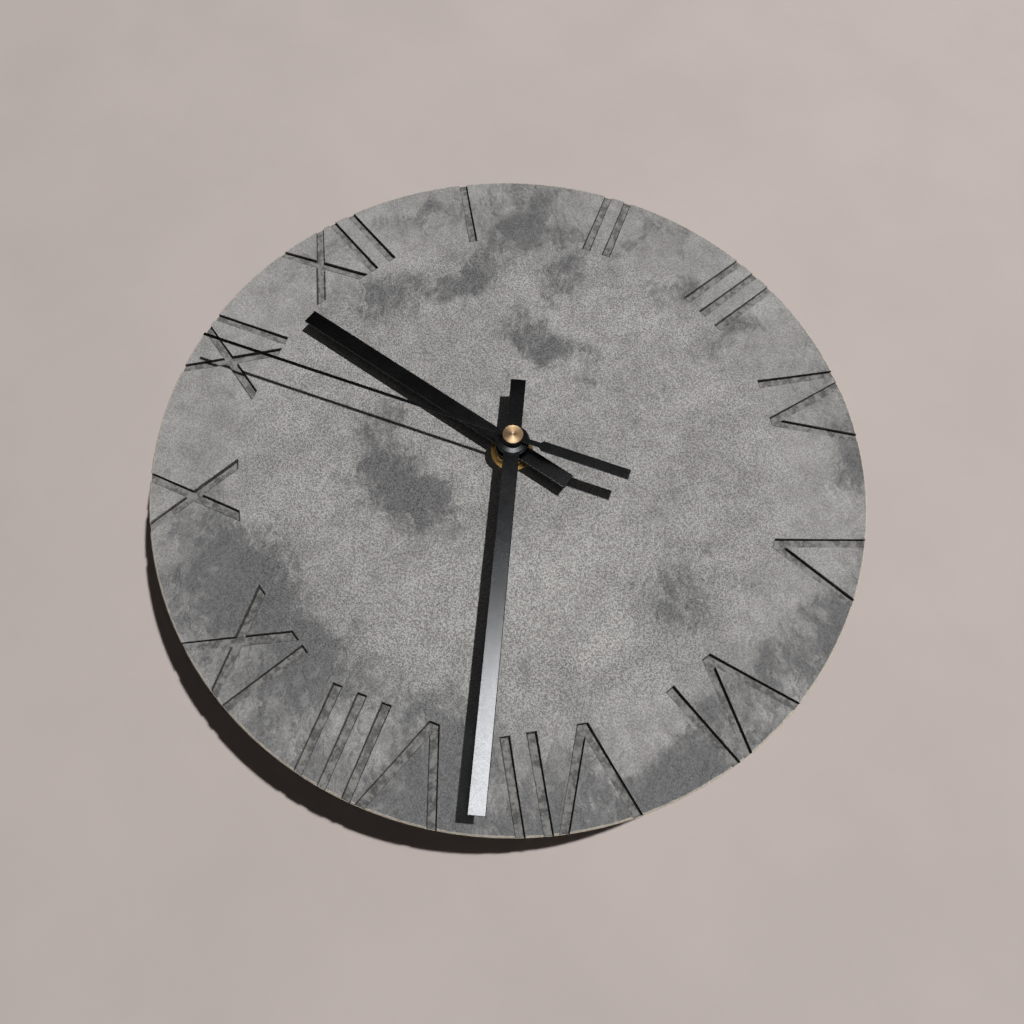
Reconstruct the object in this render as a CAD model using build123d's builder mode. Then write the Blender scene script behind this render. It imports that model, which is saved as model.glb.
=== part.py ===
from build123d import *

import os
from math import acos, cos, pi, radians, sin, tan

# Round wall clock: a cast stone dial with sunk Roman numerals, three baton
# hands and a battery quartz movement behind the dial.
#
# Frame: X to the right, Z up towards XII, Y into the wall. The origin is on the
# hand axis, in the plane of the wall. Millimetres. "Rear" is the distance in
# front of the wall at which a piece begins.

# ---------------------------------------------------------------- dial
dial_radius = 150.0
dial_thickness = 8.0
dial_edge_chamfer = 0.6
dial_hole_clearance = 0.4     # round the threaded bush
numeral_inner = 114.0         # hand axis to the feet of the numerals
numeral_depth = 1.5
stroke_width = 3.7
stroke_pitch = 9.95           # between neighbouring upright strokes
v_half_angle = 21.0
x_half_angle = 33.0
gap_beside_v = 1.5
gap_beside_x = 2.5

# ---------------------------------------------------------------- hands
hour_hand_angle = 344.5       # clockwise from XII
minute_hand_angle = 224.3
second_hand_angle = 329.2
hour_hand_reach = 110.5
hour_hand_tail = 28.3
hour_hand_width = 6.8
minute_hand_reach = 143.2
minute_hand_tail = 29.0
minute_hand_width = 6.4
hand_thickness = 0.8
hand_eye_radius = 7.0         # round plate at the hub of both hands
hand_edge_chamfer = 0.15
second_hand_reach = 139.9
second_hand_tail = 49.5
second_needle_width = 1.3
second_neck_width = 2.2
counterweight_start = 11.5
counterweight_width = 4.5
counterweight_shoulder = 1.2
second_hand_thickness = 0.5
second_hub_radius = 4.3
second_hub_height = 1.6       # under the needle
second_top_height = 1.6       # over the needle
spigot_radius = 2.0           # joins the two halves of the hub
spigot_in_top = 0.9
cap_radius = 4.15
cap_thickness = 0.4
cap_standing = 0.2            # cap above the rim of its seat
bush_to_hour_hand = 1.3
hour_to_minute_hand = 4.2
minute_boss_height = 0.9      # cone on the minute hand
minute_boss_radius = 6.2
minute_to_second_hub = 0.4
hour_collet_radius = 3.9
hour_collet_to_bush = 0.4
minute_collet_radius = 3.0
minute_collet_length = 1.8
collet_neck = 0.7             # wall of a collet inside its hand
collet_rivet = 0.3            # height of the hour collet's rivet
cone_slope = 1.8              # radius lost over the height of the minute boss
shaft_standing = 0.5          # hand shafts past their hands

# ---------------------------------------------------------------- shafts
second_shaft_radius = 0.5
minute_shaft_radius = 1.6
hour_tube_radius = 2.55
bush_radius = 4.0             # M8 thread, outside
running_gap = 0.05            # radial, for every turning fit
pivot_radius = 0.6

# ---------------------------------------------------------------- clamp on the dial
washer_thickness = 0.6
washer_radius = 9.0
washer_chamfer = 0.2
nut_thickness = 2.6
nut_across_flats = 14.0
nut_chamfer = 0.5
bush_past_nut = 0.7
bush_flange_radius = 6.5
bush_flange_thickness = 1.0
bush_end_chamfer = 0.4
clamp_clearance = 0.1         # hole of washer, gasket and hanger on the bush
gasket_thickness = 1.0
gasket_radius = 11.0
hanger_thickness = 0.8
hanger_width = 18.0
hanger_hole_radius = 3.25
hanger_hole_height = 39.0     # above the hand axis
hanger_to_wall = 6.0          # middle of its upper plate to the wall
hanger_over_case = 1.5        # from the case's top edge to the bend
hanger_drop = 3.5             # height in which it steps back to the wall

# ---------------------------------------------------------------- movement case
case_corner = 3.0
case_wall = 1.4
case_floor = 1.6
cover_thickness = 1.6
cover_lip_depth = 1.5
cover_fit = 0.1               # lip and clips inside the case
clip_width = 5.0
clip_thickness = 1.0
clip_reach = 3.6
clip_nub = 0.8
clip_nub_depth = 1.0
clip_heights = [-2.0, 15.0]
window_clearance = 0.3
boss_radius = 1.5
boss_height = 1.2             # rear pivot bosses above the floor
pivot_seat = 0.8              # floor left behind a pivot hole
boss_to_wheel = 0.3           # front pivot bosses to the wheels behind them
post_radius = 1.5
post_step = 0.5               # shoulder under the train plate
post_places = [(-16.5, -7.0), (10.5, -8.0), (-5.2, 17.4)]

# ---------------------------------------------------------------- battery
cell_radius = 7.1
cell_length = 50.5            # with its nub
nub_radius = 2.7
nub_length = 1.3
cell_edge = 0.5
cell_clearance = 0.25
bay_wall = 1.0
bay_to_cover = 0.3
contact_thickness = 0.3
contact_width = 3.0
contact_gap = 0.05            # contact strip to the wall beside it
contact_slot_clearance = 0.3
contact_foot = 5.6            # contacts below the axis of the cell
contact_past_edge = 2.4       # rising part of the negative strip past the board's edge
spring_room = 2.0             # negative end of the cell to its contact
spring_free_end = 4.2         # leaf spring above the axis of the cell
positive_riser = 2.5          # from the case's inside to the rising strip

# ---------------------------------------------------------------- gear train
wheel_thickness = 0.9
level_pitch = 1.9             # from one level of wheels to the next
train_rear_gap = 1.6          # case floor to the rearmost wheel
pinion_overlap = 0.1          # pinion past the wheel it drives
pressure_angle = radians(20)
backlash = 0.07               # on the pitch circle of each gear
pinion_shift = 0.5            # profile shift of the small pinions, in modules
pinion_addendum = 1.2
gear_clearance = 0.25         # root clearance, in modules
wheel_pinion_teeth = 8
rotor_module = 0.4
fifth_wheel_teeth = 32
second_module = 0.32
second_wheel_teeth = 60
centre_module = 0.3
centre_wheel_teeth = 64
third_wheel_teeth = 60
motion_module = 0.35
cannon_teeth = 12
motion_wheel_teeth = 36
motion_pinion_teeth = 10
hour_wheel_teeth = 40
setting_teeth = 12
third_direction = 150.0       # degrees from +X towards +Z, seen from the front
fifth_direction = 70.0
rotor_direction = 20.0
motion_direction = -15.0
setting_direction = 0.0
train_plate_thickness = 0.6
train_plate_gap = 0.2         # plate to the wheels on both sides
train_plate_margin = 2.6      # plate round its outermost holes
train_plate_corner = 1.5
clutch_flange_radius = 2.4
clutch_flange_thickness = 0.3
clutch_spring_radius = 3.6
clutch_spring_thickness = 0.45

# ---------------------------------------------------------------- setting knob
knob_radius = 5.6
knob_thickness = 2.2
knob_recess = 0.4             # knob below the rear face of the case
knob_flutes = 12
knob_flute_radius = 0.7
knob_shaft_radius = 1.0
knob_pivot_length = 2.5
knob_to_well = 0.6            # knob to the floor of its well
well_clearance = 0.9
well_wall = 1.2

# ---------------------------------------------------------------- motor and circuit
magnet_radius = 2.8
magnet_thickness = 1.5
stator_gap = 0.4              # magnet to the stator's bore
stator_ring = 1.4
stator_thickness = 0.8
coil_radius = 3.3
coil_flange_radius = 3.5
coil_length = 20.0
coil_flange = 0.8
coil_tube_radius = 1.9
core_width = 2.4
core_lug_width = 3.4
core_lug_length = 4.0
coil_to_wall = 1.1            # bobbin flange to the case's inside
peg_radius = 1.0
peg_standing = 0.9            # pegs past the coil's core
board_length = 17.0
board_height = 9.4
board_thickness = 1.0
board_to_wall = 1.2
board_behind_cell_axis = 1.2
board_pad_pitch = 8.5         # between the two seats of the board
crystal_radius = 1.0
crystal_length = 6.0
crystal_to_edge = 1.0         # crystal to the two edges of the board beside it
chip_radius = 2.8
chip_height = 1.1
chip_rounding = 0.9
chip_offset = 3.6             # along the board, from its middle

# ---------------------------------------------------------------- case, from the cell that it holds
bay_depth = knob_recess + 2 * (cell_radius + cell_clearance)
case_rear_depth = bay_depth + bay_wall + bay_to_cover
case_depth = case_rear_depth + cover_thickness
case_inside = (cell_length + spring_room) / 2 + contact_thickness + contact_gap
case_size = 2 * (case_inside + case_wall)
cell_axis_rear = knob_recess + cell_clearance + cell_radius
cell_height = -case_inside + cell_clearance + cell_radius
cell_end = case_inside - contact_gap - contact_thickness
bay_top = cell_height + cell_radius + cell_clearance
bay_wall_top = bay_top + bay_wall

# ---------------------------------------------------------------- stack, in front of the wall
hanger_rear = case_depth
gasket_rear = hanger_rear + hanger_thickness
dial_rear = gasket_rear + gasket_thickness
dial_face = dial_rear + dial_thickness
nut_rear = dial_face + washer_thickness
nut_front = nut_rear + nut_thickness
bush_rear = case_rear_depth - bush_flange_thickness
bush_front = nut_front + bush_past_nut
hour_hand_rear = bush_front + bush_to_hour_hand
hour_hand_front = hour_hand_rear + hand_thickness
hour_tube_front = hour_hand_front + shaft_standing
minute_hand_rear = hour_hand_front + hour_to_minute_hand
minute_hand_front = minute_hand_rear + hand_thickness
minute_shaft_front = minute_hand_front + shaft_standing
second_hub_rear = minute_hand_front + minute_boss_height + minute_to_second_hub
second_hand_rear = second_hub_rear + second_hub_height
second_top_rear = second_hand_rear + second_hand_thickness
second_top_front = second_top_rear + second_top_height

numeral_height = dial_radius - numeral_inner


def polar(distance, direction, start=(0.0, 0.0)):
    """Point at a distance and direction (degrees from +X towards +Z) from another point."""
    angle = radians(direction)
    return (start[0] + distance * cos(angle), start[1] + distance * sin(angle))


def level(number):
    """Rear face of the wheels on one level of the train, counted from the rear."""
    return case_floor + train_rear_gap + number * level_pitch


def motion_level(number):
    """Rear face of the wheels on one level in front of the train plate."""
    return train_plate_front + train_plate_gap + number * level_pitch


third_distance = centre_module * (centre_wheel_teeth + wheel_pinion_teeth) / 2
third_module = 2 * third_distance / (third_wheel_teeth + wheel_pinion_teeth)
fifth_distance = second_module * (second_wheel_teeth + wheel_pinion_teeth) / 2
rotor_distance = rotor_module * (fifth_wheel_teeth + wheel_pinion_teeth) / 2
motion_distance = motion_module * (cannon_teeth + motion_wheel_teeth) / 2
hour_module = 2 * motion_distance / (motion_pinion_teeth + hour_wheel_teeth)
setting_distance = motion_module * (motion_wheel_teeth + setting_teeth) / 2

centre = (0.0, 0.0)
third_at = polar(third_distance, third_direction)
fifth_at = polar(fifth_distance, fifth_direction)
rotor_at = polar(rotor_distance, rotor_direction, fifth_at)
motion_at = polar(motion_distance, motion_direction)
setting_at = polar(setting_distance, setting_direction, motion_at)
train_plate_rear = level(3) + wheel_thickness + train_plate_gap
train_plate_front = train_plate_rear + train_plate_thickness
pivot_rear = pivot_seat + running_gap


# ---------------------------------------------------------------- gear shapes
def involute_angle(base_radius, radius):
    """Polar angle that the involute of a base circle has swept at a radius."""
    roll = acos(min(1.0, base_radius / radius))
    return tan(roll) - roll


def gear_outline(teeth, module, shift=0.0, addendum=1.0, flank_points=2):
    """Corner points of a spur gear with involute flanks, one tooth centred on +X."""
    pitch_radius = module * teeth / 2
    base_radius = pitch_radius * cos(pressure_angle)
    tip_radius = pitch_radius + module * addendum
    root_radius = pitch_radius - module * (1 + gear_clearance - shift)
    thickness = pi * module / 2 + 2 * shift * module * tan(pressure_angle) - backlash
    half_angle = thickness / (2 * pitch_radius) + involute_angle(base_radius, pitch_radius)
    start_radius = max(root_radius, base_radius)
    flank_step = (tip_radius - start_radius) / (flank_points - 1)
    radii = [start_radius + flank_step * i for i in range(flank_points)]
    flank = [(radius, half_angle - involute_angle(base_radius, radius)) for radius in radii]
    flank[0] = (root_radius, flank[0][1])
    points = []
    for tooth in range(teeth):
        middle = 2 * pi * tooth / teeth
        for radius, angle in flank:
            points.append((radius * cos(middle - angle), radius * sin(middle - angle)))
        for radius, angle in reversed(flank):
            points.append((radius * cos(middle + angle), radius * sin(middle + angle)))
    return points


def wheel_outline(teeth, module):
    """Outline of a large wheel, shifted to run with a small pinion."""
    return gear_outline(teeth, module, shift=-pinion_shift, addendum=1 - pinion_shift)


def pinion_outline(teeth, module):
    """Outline of a small pinion, shifted so that its few teeth aren't undercut."""
    return gear_outline(teeth, module, shift=pinion_shift, addendum=pinion_addendum, flank_points=3)


def meshing_phase(teeth, at, mate_teeth, mate_at, mate_phase=0.0):
    """Rotation in degrees that puts a gear's gap where its mate has a tooth."""
    towards = Vector(at[0] - mate_at[0], at[1] - mate_at[1], 0)
    line = Vector(1, 0, 0).get_signed_angle(towards, Vector(0, 0, 1))
    tooth_fraction = ((line - mate_phase) * mate_teeth / 360) % 1
    return line + 180 - (0.5 - tooth_fraction) * 360 / teeth


def add_disc(at, rear, thickness, radius, mode=Mode.ADD):
    """Adds (or cuts) a cylinder along the hand axis direction in the active part."""
    with BuildSketch(Plane.XZ.offset(rear)) as disc:
        with Locations(at):
            Circle(radius)
    extrude(disc.sketch, amount=thickness, mode=mode)


def add_gear(at, rear, thickness, outline, phase=0.0):
    """Adds a spur gear to the active part, turned by its meshing phase."""
    with BuildSketch(Plane.XZ.offset(rear)) as gear:
        with Locations(Location((at[0], at[1], 0), (0, 0, 1), phase)):
            Polygon(*outline, align=None)
    extrude(gear.sketch, amount=thickness)


os.makedirs("parts", exist_ok=True)

# ================================================================ dial
# The numerals are sunk into the face and run out through the dial's edge.
NUMERALS = ["I", "II", "III", "IV", "V", "VI", "VII", "VIII", "IX", "X", "XI", "XII"]

v_foot = stroke_width / cos(radians(v_half_angle))
v_spread = numeral_height * tan(radians(v_half_angle))
x_foot = stroke_width / cos(radians(x_half_angle))
x_spread = numeral_height * tan(radians(x_half_angle))
letter_width = {"I": stroke_width, "V": v_foot + 2 * v_spread, "X": x_foot + x_spread}


def letter_gap(left, right):
    """Free space between two neighbouring letters."""
    if left == right == "I":
        return stroke_pitch - stroke_width
    return gap_beside_v if "V" in (left, right) else gap_beside_x


def add_stroke(foot_x, head_x, foot_width):
    """Draws one straight stroke from the feet line to the heads line."""
    half = foot_width / 2
    Polygon(
        (foot_x - half, 0),
        (foot_x + half, 0),
        (head_x + half, numeral_height),
        (head_x - half, numeral_height),
        align=None,
    )


def add_letter(letter, middle):
    """Draws the strokes of I, V or X about its middle line."""
    if letter == "I":
        add_stroke(middle, middle, stroke_width)
    elif letter == "V":
        add_stroke(middle, middle - v_spread, v_foot)
        add_stroke(middle, middle + v_spread, v_foot)
    else:
        add_stroke(middle - x_spread / 2, middle + x_spread / 2, x_foot)
        add_stroke(middle + x_spread / 2, middle - x_spread / 2, x_foot)


def add_numeral(numeral):
    """Draws a whole Roman numeral, centred, with its feet towards the hand axis."""
    gaps = [letter_gap(a, b) for a, b in zip(numeral, numeral[1:])] + [0]
    width = sum(letter_width[letter] for letter in numeral) + sum(gaps)
    left = -width / 2
    for letter, gap in zip(numeral, gaps):
        add_letter(letter, left + letter_width[letter] / 2)
        left += letter_width[letter] + gap


with BuildPart() as dial:
    with BuildSketch(Plane.XZ.offset(dial_rear)):
        Circle(dial_radius)
    extrude(amount=dial_thickness)
    chamfer(dial.edges().filter_by(GeomType.CIRCLE), dial_edge_chamfer)
    add_disc(centre, dial_rear, dial_thickness, bush_radius + dial_hole_clearance, Mode.SUBTRACT)
    with BuildSketch(Plane.XZ.offset(dial_face)) as numerals:
        for hour, numeral in enumerate(NUMERALS, start=1):
            with Locations(Rot(0, 0, -30 * hour) * Pos(0, numeral_inner)):
                add_numeral(numeral)
    extrude(amount=-numeral_depth, mode=Mode.SUBTRACT)
dial.part.label = "dial"
export_step(dial.part, "parts/dial.step")

# ================================================================ clamp round the bush
def add_ring(rear, thickness, inner_radius, outer_radius):
    """Adds a flat ring about the hand axis."""
    with BuildSketch(Plane.XZ.offset(rear)) as ring:
        Circle(outer_radius)
        Circle(inner_radius, mode=Mode.SUBTRACT)
    extrude(ring.sketch, amount=thickness)


clamp_hole_radius = bush_radius + clamp_clearance
nut_corner_radius = nut_across_flats / 2 / cos(pi / 6)

# The nut is a hexagon whose corners are turned off to a chamfer at both faces.
with BuildPart() as lock_nut:
    with BuildSketch(Plane.XZ.offset(nut_rear)):
        RegularPolygon(nut_corner_radius, 6)
        Circle(bush_radius, mode=Mode.SUBTRACT)
    extrude(amount=nut_thickness)
    with BuildSketch(Plane.YZ) as turned_section:
        with BuildLine():
            Polyline(
                (-nut_rear, 0),
                (-nut_rear, nut_corner_radius - nut_chamfer),
                (-nut_rear - nut_chamfer, nut_corner_radius),
                (-nut_front + nut_chamfer, nut_corner_radius),
                (-nut_front, nut_corner_radius - nut_chamfer),
                (-nut_front, 0),
                close=True,
            )
        make_face()
    revolve(turned_section.sketch, axis=Axis.Y, mode=Mode.INTERSECT)
lock_nut.part.label = "lock_nut"
export_step(lock_nut.part, "parts/lock_nut.step")

with BuildPart() as dial_washer:
    add_ring(dial_face, washer_thickness, clamp_hole_radius, washer_radius)
    front_rims = dial_washer.edges().filter_by(GeomType.CIRCLE).group_by(Axis.Y)[0]
    chamfer(front_rims.sort_by(SortBy.RADIUS)[-1], washer_chamfer)
dial_washer.part.label = "dial_washer"
export_step(dial_washer.part, "parts/dial_washer.step")

with BuildPart() as rubber_gasket:
    add_ring(gasket_rear, gasket_thickness, clamp_hole_radius, gasket_radius)
rubber_gasket.part.label = "rubber_gasket"
export_step(rubber_gasket.part, "parts/rubber_gasket.step")

with BuildPart() as threaded_bush:
    add_disc(centre, bush_rear, bush_flange_thickness, bush_flange_radius)
    add_disc(centre, case_rear_depth, bush_front - case_rear_depth, bush_radius)
    chamfer(threaded_bush.edges().filter_by(GeomType.CIRCLE).sort_by(Axis.Y)[0], bush_end_chamfer)
    bush_bore = hour_tube_radius + running_gap
    add_disc(centre, bush_rear, bush_front - bush_rear, bush_bore, Mode.SUBTRACT)
threaded_bush.part.label = "threaded_bush"
export_step(threaded_bush.part, "parts/threaded_bush.step")

# The hanger is a bent steel strip clamped between the case and the gasket. It
# passes over the top of the case and steps back to the wall.
hanger_bend_height = case_size / 2 + hanger_over_case
hanger_top = hanger_hole_height + hanger_width / 2

with BuildPart() as wall_hanger:
    with BuildSketch(Plane.YZ.offset(-hanger_width / 2)):
        with BuildLine() as hanger_bends:
            Polyline(
                (-hanger_rear - hanger_thickness / 2, -hanger_width / 2),
                (-hanger_rear - hanger_thickness / 2, hanger_bend_height),
                (-hanger_to_wall, hanger_bend_height + hanger_drop),
                (-hanger_to_wall, hanger_top),
            )
        trace(line_width=hanger_thickness)
    extrude(amount=hanger_width)
    with BuildSketch(Plane.XZ) as hanger_outline:
        with Locations((0, (hanger_top - hanger_width / 2) / 2)):
            SlotOverall(hanger_top + hanger_width / 2, hanger_width, rotation=90)
        Circle(clamp_hole_radius, mode=Mode.SUBTRACT)
        with Locations((0, hanger_hole_height)):
            Circle(hanger_hole_radius, mode=Mode.SUBTRACT)
    extrude(hanger_outline.sketch, amount=hanger_rear + hanger_thickness, mode=Mode.INTERSECT)
wall_hanger.part.label = "wall_hanger"
export_step(wall_hanger.part, "parts/wall_hanger.step")

# ================================================================ rear case
well_radius = knob_radius + well_clearance
well_depth = knob_recess + knob_thickness + knob_to_well

stator_rear = level(1) + (magnet_thickness - stator_thickness) / 2
core_rear = stator_rear + stator_thickness
core_front = core_rear + stator_thickness
peg_front = core_front + peg_standing
coil_at = (rotor_at[0], case_inside - coil_to_wall - coil_flange_radius)
lug_offset = coil_length / 2 + core_lug_length / 2
lug_places = [(coil_at[0] + side * lug_offset, coil_at[1]) for side in (-1, 1)]

board_left = -case_inside + board_to_wall
board_top = case_inside - board_to_wall
board_bottom = board_top - board_height
board_at = (board_left + board_length / 2, board_top - board_height / 2)
board_rear = cell_axis_rear - board_behind_cell_axis
board_pad_places = [(board_at[0] + side * board_pad_pitch / 2, board_at[1]) for side in (-1, 1)]

contact_rear = cell_axis_rear - contact_width / 2
contact_middle = case_inside - contact_gap - contact_thickness / 2
clip_rear = case_rear_depth - clip_reach
clip_outer = case_inside - cover_fit


def add_box(x_range, z_range, rear, depth, mode=Mode.ADD):
    """Adds (or cuts) a block between two X values and two Z values."""
    with BuildSketch(Plane.XZ.offset(rear)) as block:
        with Locations((sum(x_range) / 2, sum(z_range) / 2)):
            Rectangle(x_range[1] - x_range[0], z_range[1] - z_range[0])
    extrude(block.sketch, amount=depth, mode=mode)


with BuildPart() as rear_case:
    with BuildSketch(Plane.XZ):
        RectangleRounded(case_size, case_size, case_corner)
    extrude(amount=case_rear_depth)
    with BuildSketch(Plane.XZ.offset(case_floor)):
        RectangleRounded(2 * case_inside, 2 * case_inside, case_corner - case_wall)
    extrude(amount=case_rear_depth - case_floor, mode=Mode.SUBTRACT)
    # battery bay, open towards the wall
    add_box((-case_inside, case_inside), (-case_inside, bay_wall_top), 0, bay_depth + bay_wall)
    add_box((-case_inside, case_inside), (-case_inside, bay_top), 0, bay_depth, Mode.SUBTRACT)
    # slots for the two contact strips through the bay's upper wall
    slot_depth = contact_width + 2 * contact_slot_clearance
    slot_inner = cell_end - contact_slot_clearance
    for slot in ((-case_inside, -slot_inner), (slot_inner, case_inside)):
        slot_rear = contact_rear - contact_slot_clearance
        add_box(slot, (bay_top, bay_wall_top), slot_rear, slot_depth, Mode.SUBTRACT)
    # well of the setting knob, open towards the wall
    add_disc(setting_at, 0, well_depth + well_wall, well_radius + well_wall)
    add_disc(setting_at, 0, well_depth, well_radius, Mode.SUBTRACT)
    add_disc(setting_at, 0, well_depth + well_wall, knob_shaft_radius + running_gap, Mode.SUBTRACT)
    # pivot bosses, each with a blind hole
    rear_pivots = [(at, pivot_radius) for at in (third_at, fifth_at, rotor_at)]
    boss_front = case_floor + boss_height
    for at, radius in [(centre, second_shaft_radius), *rear_pivots]:
        add_disc(at, case_floor, boss_height, boss_radius)
        add_disc(at, pivot_seat, boss_front - pivot_seat, radius + running_gap, Mode.SUBTRACT)
    # posts that carry the train plate
    for at in post_places:
        add_disc(at, case_floor, train_plate_rear - case_floor, post_radius)
        add_disc(at, train_plate_rear, train_plate_thickness, post_radius - post_step)
    # seats and pegs of the stator, and the seats of the circuit board
    for at in lug_places:
        add_disc(at, case_floor, stator_rear - case_floor, core_lug_width / 2)
        add_disc(at, stator_rear, peg_front - stator_rear, peg_radius)
    for at in board_pad_places:
        add_disc(at, case_floor, board_rear - case_floor, post_radius)
    # windows for the cover's clips
    window_half = clip_width / 2 + window_clearance
    window_rear = clip_rear - window_clearance
    window_depth = clip_nub_depth + 2 * window_clearance
    for side in (-1, 1):
        window = sorted((side * case_inside, side * case_size / 2))
        for height in clip_heights:
            z_range = (height - window_half, height + window_half)
            add_box(window, z_range, window_rear, window_depth, Mode.SUBTRACT)
rear_case.part.label = "rear_case"
export_step(rear_case.part, "parts/rear_case.step")

# ================================================================ front cover
with BuildPart() as front_cover:
    with BuildSketch(Plane.XZ.offset(case_rear_depth)):
        RectangleRounded(case_size, case_size, case_corner)
    extrude(amount=cover_thickness)
    lip_bottom = bay_wall_top + cover_fit
    lip_width = 2 * clip_outer
    lip_height = clip_outer - lip_bottom
    with BuildSketch(Plane.XZ.offset(case_rear_depth - cover_lip_depth)):
        with Locations((0, (clip_outer + lip_bottom) / 2)):
            RectangleRounded(lip_width, lip_height, case_corner - case_wall)
            Rectangle(
                lip_width - 2 * clip_thickness,
                lip_height - 2 * clip_thickness,
                mode=Mode.SUBTRACT,
            )
    extrude(amount=cover_lip_depth)
    # clips that snap into the windows of the rear case
    for side in (-1, 1):
        arm = sorted((side * (clip_outer - clip_thickness), side * clip_outer))
        nub = sorted((side * clip_outer, side * (clip_outer + clip_nub)))
        for height in clip_heights:
            z_range = (height - clip_width / 2, height + clip_width / 2)
            add_box(arm, z_range, clip_rear, clip_reach)
            add_box(nub, z_range, clip_rear, clip_nub_depth)
    # front pivots of the motion wheel and the setting knob, in blind holes
    front_pivots = [
        (motion_at, pivot_radius, motion_level(1)),
        (setting_at, knob_shaft_radius, motion_level(0)),
    ]
    for at, radius, wheel_rear in front_pivots:
        boss_rear = wheel_rear + wheel_thickness + boss_to_wheel
        boss_length = case_rear_depth - boss_rear
        add_disc(at, boss_rear, boss_length, radius + boss_radius - pivot_radius)
        add_disc(at, boss_rear, boss_length, radius + running_gap, Mode.SUBTRACT)
    add_disc(centre, case_rear_depth, cover_thickness, bush_radius, Mode.SUBTRACT)
front_cover.part.label = "front_cover"
export_step(front_cover.part, "parts/front_cover.step")

# ================================================================ train plate
plate_left = post_places[0][0] - train_plate_margin
plate_right = rotor_at[0] + train_plate_margin
plate_bottom = post_places[1][1] - train_plate_margin
plate_top = rotor_at[1] + train_plate_margin
tab_middle, tab_height = post_places[2]

with BuildPart() as train_plate:
    with BuildSketch(Plane.XZ.offset(train_plate_rear)):
        with BuildLine():
            Polyline(
                (plate_left, plate_bottom),
                (plate_right, plate_bottom),
                (plate_right, plate_top),
                (tab_middle + train_plate_margin, plate_top),
                (tab_middle + train_plate_margin, tab_height + train_plate_margin),
                (tab_middle - train_plate_margin, tab_height + train_plate_margin),
                (tab_middle - train_plate_margin, plate_top),
                (plate_left, plate_top),
                close=True,
            )
        make_face()
        fillet(vertices(), train_plate_corner)
        with Locations(third_at, fifth_at, rotor_at, motion_at):
            Circle(pivot_radius + running_gap, mode=Mode.SUBTRACT)
        with Locations(*post_places):
            Circle(post_radius - post_step, mode=Mode.SUBTRACT)
        Circle(minute_shaft_radius + running_gap, mode=Mode.SUBTRACT)
    extrude(amount=train_plate_thickness)
train_plate.part.label = "train_plate"
export_step(train_plate.part, "parts/train_plate.step")

# ================================================================ cell and contacts
with BuildPart() as battery_cell:
    with BuildSketch(Plane.YZ.offset(cell_end)):
        with Locations((-cell_axis_rear, cell_height)):
            Circle(nub_radius)
    extrude(amount=-nub_length)
    with BuildSketch(Plane.YZ.offset(cell_end - nub_length)):
        with Locations((-cell_axis_rear, cell_height)):
            Circle(cell_radius)
    extrude(amount=-(cell_length - nub_length))
    rims = battery_cell.edges().filter_by(GeomType.CIRCLE).group_by(SortBy.RADIUS)[-1]
    fillet(rims, cell_edge)
battery_cell.part.label = "battery_cell"
export_step(battery_cell.part, "parts/battery_cell.step")

spring_tip = cell_end - cell_length - contact_thickness / 2

# One strip of spring brass: a leaf against the cell, a riser and a finger on the board.
with BuildPart() as negative_contact:
    with BuildSketch(Plane.XZ.offset(contact_rear)):
        with BuildLine():
            Polyline(
                ((spring_tip - contact_middle) / 2, cell_height + spring_free_end),
                (spring_tip, cell_height),
                (-contact_middle, cell_height - contact_foot),
                (-contact_middle, board_bottom + contact_past_edge),
                (board_left - contact_thickness / 2, board_at[1]),
            )
        trace(line_width=contact_thickness)
    extrude(amount=contact_width)
negative_contact.part.label = "negative_contact"
export_step(negative_contact.part, "parts/negative_contact.step")

# The other strip runs along the upper wall of the bay and rises to the board.
run_height = bay_wall_top + contact_gap + contact_thickness / 2
riser_at = -case_inside + positive_riser
with BuildPart() as positive_contact:
    with BuildSketch(Plane.XZ.offset(contact_rear)):
        with BuildLine():
            Polyline(
                (contact_middle, cell_height - contact_foot),
                (contact_middle, run_height),
                (riser_at, run_height),
                (riser_at, board_bottom - contact_thickness / 2),
            )
        trace(line_width=contact_thickness)
    extrude(amount=contact_width)
positive_contact.part.label = "positive_contact"
export_step(positive_contact.part, "parts/positive_contact.step")

# ================================================================ circuit
with BuildPart() as circuit_board:
    with BuildSketch(Plane.XZ.offset(board_rear)):
        with Locations(board_at):
            Rectangle(board_length, board_height)
    extrude(amount=board_thickness)
circuit_board.part.label = "circuit_board"
export_step(circuit_board.part, "parts/circuit_board.step")

board_front = board_rear + board_thickness
with BuildPart() as quartz_crystal:
    crystal_height = board_top - crystal_to_edge - crystal_radius
    with BuildSketch(Plane.YZ.offset(board_left + crystal_to_edge)):
        with Locations((-board_front - crystal_radius, crystal_height)):
            Circle(crystal_radius)
    extrude(amount=crystal_length)
quartz_crystal.part.label = "quartz_crystal"
export_step(quartz_crystal.part, "parts/quartz_crystal.step")

with BuildPart() as clock_chip:
    with BuildSketch(Plane.XZ.offset(board_front)):
        with Locations((board_at[0] + chip_offset, board_at[1])):
            Circle(chip_radius)
    extrude(amount=chip_height)
    fillet(clock_chip.edges().sort_by(Axis.Y)[0], chip_rounding)
clock_chip.part.label = "clock_chip"
export_step(clock_chip.part, "parts/clock_chip.step")

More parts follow.
